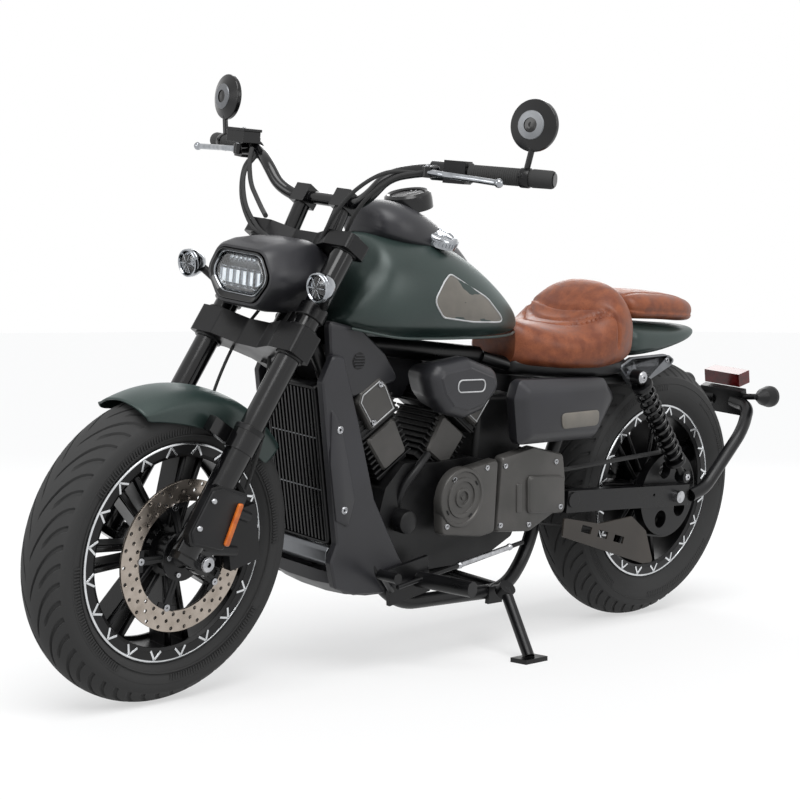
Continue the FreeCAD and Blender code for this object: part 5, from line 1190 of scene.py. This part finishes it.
def make_shocks(coil_turns):
    """Coil springs over their dampers, with eyes and bolts."""
    coils, parts, bolts = Shape(), Shape(), Shape()
    for sign in SIDES:
        top, foot = Vector((215, 148 * sign, 630)), Vector((2, 148 * sign, 378))
        place = aimed(foot, top - foot)
        length = (top - foot).length
        low, high = 60, length - 34
        steps = coil_turns * 24
        helix = []
        for step in range(steps + 1):
            angle = 2 * math.pi * coil_turns * step / steps
            helix.append((21 * math.cos(angle), 21 * math.sin(angle), low + (high - low) * step / steps))
        coils.pipe(helix, 4.2, 10, place)
        parts.lathe([(0.5, 10), (9, 10), (9, 60), (14, 60), (15, 64), (15, 190), (12, 192), (8, 194),
                     (8, length - 16), (0.5, length - 16)], place, 32)
        for h in (low - 6, high + 6):
            parts.lathe([(10, h - 5), (25, h - 5), (26, h - 3), (26, h + 3), (25, h + 5), (10, h + 5)],
                        place, 40)
        for centre, radius in ((top, 17), (foot, 15)):
            inner, outer = (sideways(*(centre + Vector((0, away * sign, 0))), sign) for away in (-14, 14))
            parts.lathe([(4, 0), (radius - 1, 0), (radius, 1), (radius, 27), (radius - 1, 28), (4, 28)],
                        inner, 32)
            bolts.lathe([(3, 4), (7, 4), (9, 2), (9, -4)], outer, 6)
    piece("shock_coils", coils, "chassis", "black_anodised_aluminium", sharp=60,
          stands_for=["rear_shocks"])
    piece("shock_bodies", parts, "chassis", "powder_coated_steel")
    piece("shock_bolts", bolts, "chassis", "zinc_plated_steel", bevel=0.6)


# ---------------------------------------------------------------- stage

FLOOR_REACH = 60
FLOOR_GLOW = 0.57
WORLD_STRENGTH = 0.34


def make_stage(colour):
    """A pale floor and backdrop, soft lamps and the camera."""
    floor_mesh = bpy.data.meshes.new("floor")
    corners = [(x * FLOOR_REACH, y * FLOOR_REACH, 0) for x, y in ((-1, -1), (1, -1), (1, 1), (-1, 1))]
    floor_mesh.from_pydata(corners, [], [(0, 1, 2, 3)])
    floor = bpy.data.objects.new("floor", floor_mesh)
    bpy.context.scene.collection.objects.link(floor)
    # Matt studio paint, rolled: it takes the shadow and reads as the backdrop's own white.
    material = bpy.data.materials.new("matt_studio_paint")
    tree = blank_tree(material)
    seen = seen_ray(tree)
    diffuse = node(tree, "ShaderNodeBsdfDiffuse", {"Color": linear("#acacac")})
    glow = node(tree, "ShaderNodeEmission", {"Color": linear(colour), "Strength": FLOOR_GLOW})
    extra = node(tree, "ShaderNodeMixShader", {}, {0: seen, 2: glow.outputs[0]})
    both = node(tree, "ShaderNodeAddShader", {}, {0: diffuse.outputs[0], 1: extra.outputs[0]})
    node(tree, "ShaderNodeOutputMaterial", {}, {"Surface": both.outputs[0]})
    floor_mesh.materials.append(material)
    world = bpy.data.worlds.new("studio")
    bpy.context.scene.world = world
    tree = blank_tree(world)
    seen = seen_ray(tree)
    soft = node(tree, "ShaderNodeBackground", {"Color": linear("#eef1f4"), "Strength": WORLD_STRENGTH})
    plain = node(tree, "ShaderNodeBackground", {"Color": linear(colour), "Strength": 1.0})
    mix = node(tree, "ShaderNodeMixShader", {}, {0: seen, 1: soft.outputs[0], 2: plain.outputs[0]})
    node(tree, "ShaderNodeOutputWorld", {}, {"Surface": mix.outputs[0]})
    overhead = lamp("overhead_softbox", "SUN", (1.3, 1.7, 3.2), (0, 0, 0), 2.5)
    overhead.angle = math.radians(44)
    for name, place, size, power in (("front_softbox", (4.0, -0.8, 1.9), 1.6, 26),
                                     ("left_softbox", (-0.8, 4.0, 2.2), 1.8, 26),
                                     ("back_softbox", (-3.0, -2.6, 2.8), 2.0, 40)):
        lamp(name, "AREA", place, (0, 0, 0.6), power).size = size
    make_camera()
    bpy.context.scene.view_settings.view_transform = "Standard"


def seen_ray(tree):
    """One for rays that reach the camera straight, by reflection or through glass."""
    path = node(tree, "ShaderNodeLightPath")
    first = node(tree, "ShaderNodeMath", {"operation": "MAXIMUM"},
                 {0: path.outputs["Is Camera Ray"], 1: path.outputs["Is Glossy Ray"]})
    return node(tree, "ShaderNodeMath", {"operation": "MAXIMUM"},
                {0: first.outputs[0], 1: path.outputs["Is Transmission Ray"]}).outputs[0]


def lamp(name, kind, place, target, power):
    data = bpy.data.lights.new(name, kind)
    data.energy = power
    obj = bpy.data.objects.new(name, data)
    bpy.context.scene.collection.objects.link(obj)
    obj.location = place
    obj.rotation_euler = (Vector(target) - Vector(place)).to_track_quat("-Z", "Y").to_euler()
    return data


def make_camera():
    """Seen from ahead on the rider's left, at about the height of the tank."""
    data = bpy.data.cameras.new("camera")
    data.sensor_width = 36
    data.lens = 78.9
    camera = bpy.data.objects.new("camera", data)
    bpy.context.scene.collection.objects.link(camera)
    camera.location = PARKED @ Vector((3494, 2697, 1070))
    forward = PARKED.to_3x3() @ Vector((-0.6942, -0.7079, -0.13))
    camera.rotation_euler = forward.to_track_quat("-Z", "Y").to_euler()
    bpy.context.scene.camera = camera


# ---------------------------------------------------------------- add-on

class MotorcycleSizes(PropertyGroup):
    tread_depth: FloatProperty(name="Tread depth", description="Depth of the tyre's sipes in mm", default=4.5,
                               min=1, max=6)
    spring_turns: IntProperty(name="Spring turns", description="Coils in each rear spring", default=11, min=4,
                              max=20)


class MotorcycleColours(PropertyGroup):
    paint: StringProperty(name="Paint", description="Lacquer's sRGB hex colour", default="#25322f")
    leather: StringProperty(name="Leather", description="Seat leather's sRGB hex colour",
                                      default="#783f28")
    stage: StringProperty(name="Stage", description="Backdrop's sRGB hex colour", default="#ffffff")


class MotorcyclePart:
    bl_options = {"REGISTER"}

    @property
    def sizes(self):
        return bpy.context.scene.motorcycle_sizes

    @property
    def colours(self):
        return bpy.context.scene.motorcycle_colours


class MOTORCYCLE_OT_stage(MotorcyclePart, Operator):
    """Lay the floor, hang the lamps and place the camera"""
    bl_idname = "motorcycle.stage"
    bl_label = "Stage"

    def execute(self, context):
        make_stage(self.colours.stage)
        return {"FINISHED"}


class MOTORCYCLE_OT_finishes(MotorcyclePart, Operator):
    """Make every material and give the carried-over pieces theirs"""
    bl_idname = "motorcycle.finishes"
    bl_label = "Finishes"

    def execute(self, context):
        make_finishes(self.colours)
        for material, names in CAD_FINISHES.items():
            for name in names:
                mesh = NODES[name].data
                mesh.materials.clear()
                mesh.materials.append(bpy.data.materials[material])
        return {"FINISHED"}


class MOTORCYCLE_OT_wheels(MotorcyclePart, Operator):
    """Build the tyres, rim trim and brake discs"""
    bl_idname = "motorcycle.wheels"
    bl_label = "Wheels"

    def execute(self, context):
        make_wheels(self.sizes)
        return {"FINISHED"}


class MOTORCYCLE_OT_front(MotorcyclePart, Operator):
    """Build the fender, fork details, headlight and front controls"""
    bl_idname = "motorcycle.front"
    bl_label = "Front end"

    def execute(self, context):
        make_fender()
        fork_details()
        make_headlight()
        make_indicators()
        make_levers()
        make_controls()
        return {"FINISHED"}


class MOTORCYCLE_OT_tank(MotorcyclePart, Operator):
    """Build the tank, its plates, the console, instrument and cap"""
    bl_idname = "motorcycle.tank"
    bl_label = "Tank"

    def execute(self, context):
        make_badge(make_tank())
        make_console()
        return {"FINISHED"}


class MOTORCYCLE_OT_seats(MotorcyclePart, Operator):
    """Build the padded seats and the tail under them"""
    bl_idname = "motorcycle.seats"
    bl_label = "Seats and tail"

    def execute(self, context):
        make_seats()
        make_tail()
        return {"FINISHED"}


class MOTORCYCLE_OT_engine(MotorcyclePart, Operator):
    """Build the cylinders, casings, side shells and radiator"""
    bl_idname = "motorcycle.engine"
    bl_label = "Engine"

    def execute(self, context):
        make_cylinders()
        make_engine_covers()
        make_engine_details()
        make_side_plates()
        make_radiator()
        return {"FINISHED"}


class MOTORCYCLE_OT_shocks(MotorcyclePart, Operator):
    """Wind the rear springs over their dampers"""
    bl_idname = "motorcycle.shocks"
    bl_label = "Rear shocks"

    def execute(self, context):
        make_shocks(self.sizes.spring_turns)
        return {"FINISHED"}


OPERATORS = (MOTORCYCLE_OT_stage, MOTORCYCLE_OT_finishes, MOTORCYCLE_OT_wheels, MOTORCYCLE_OT_front,
             MOTORCYCLE_OT_tank, MOTORCYCLE_OT_seats, MOTORCYCLE_OT_engine, MOTORCYCLE_OT_shocks)


class MOTORCYCLE_PT_panel(Panel):
    bl_label = "Cruiser Motorcycle"
    bl_idname = "MOTORCYCLE_PT_panel"
    bl_space_type = "VIEW_3D"
    bl_region_type = "UI"
    bl_category = "Motorcycle"

    def draw(self, context):
        for group in (context.scene.motorcycle_sizes, context.scene.motorcycle_colours):
            for name in group.__annotations__:
                self.layout.prop(group, name)
        for operator in OPERATORS:
            self.layout.operator(operator.bl_idname)


CLASSES = (MotorcycleSizes, MotorcycleColours) + OPERATORS + (MOTORCYCLE_PT_panel,)


def register():
    for cls in CLASSES:
        bpy.utils.register_class(cls)
    bpy.types.Scene.motorcycle_sizes = PointerProperty(type=MotorcycleSizes)
    bpy.types.Scene.motorcycle_colours = PointerProperty(type=MotorcycleColours)


def unregister():
    del bpy.types.Scene.motorcycle_colours
    del bpy.types.Scene.motorcycle_sizes
    for cls in reversed(CLASSES):
        bpy.utils.unregister_class(cls)


def main():
    register()
    for operator in OPERATORS:
        group, name = operator.bl_idname.split(".")
        getattr(getattr(bpy.ops, group), name)()


if __name__ == "__main__":
    main()
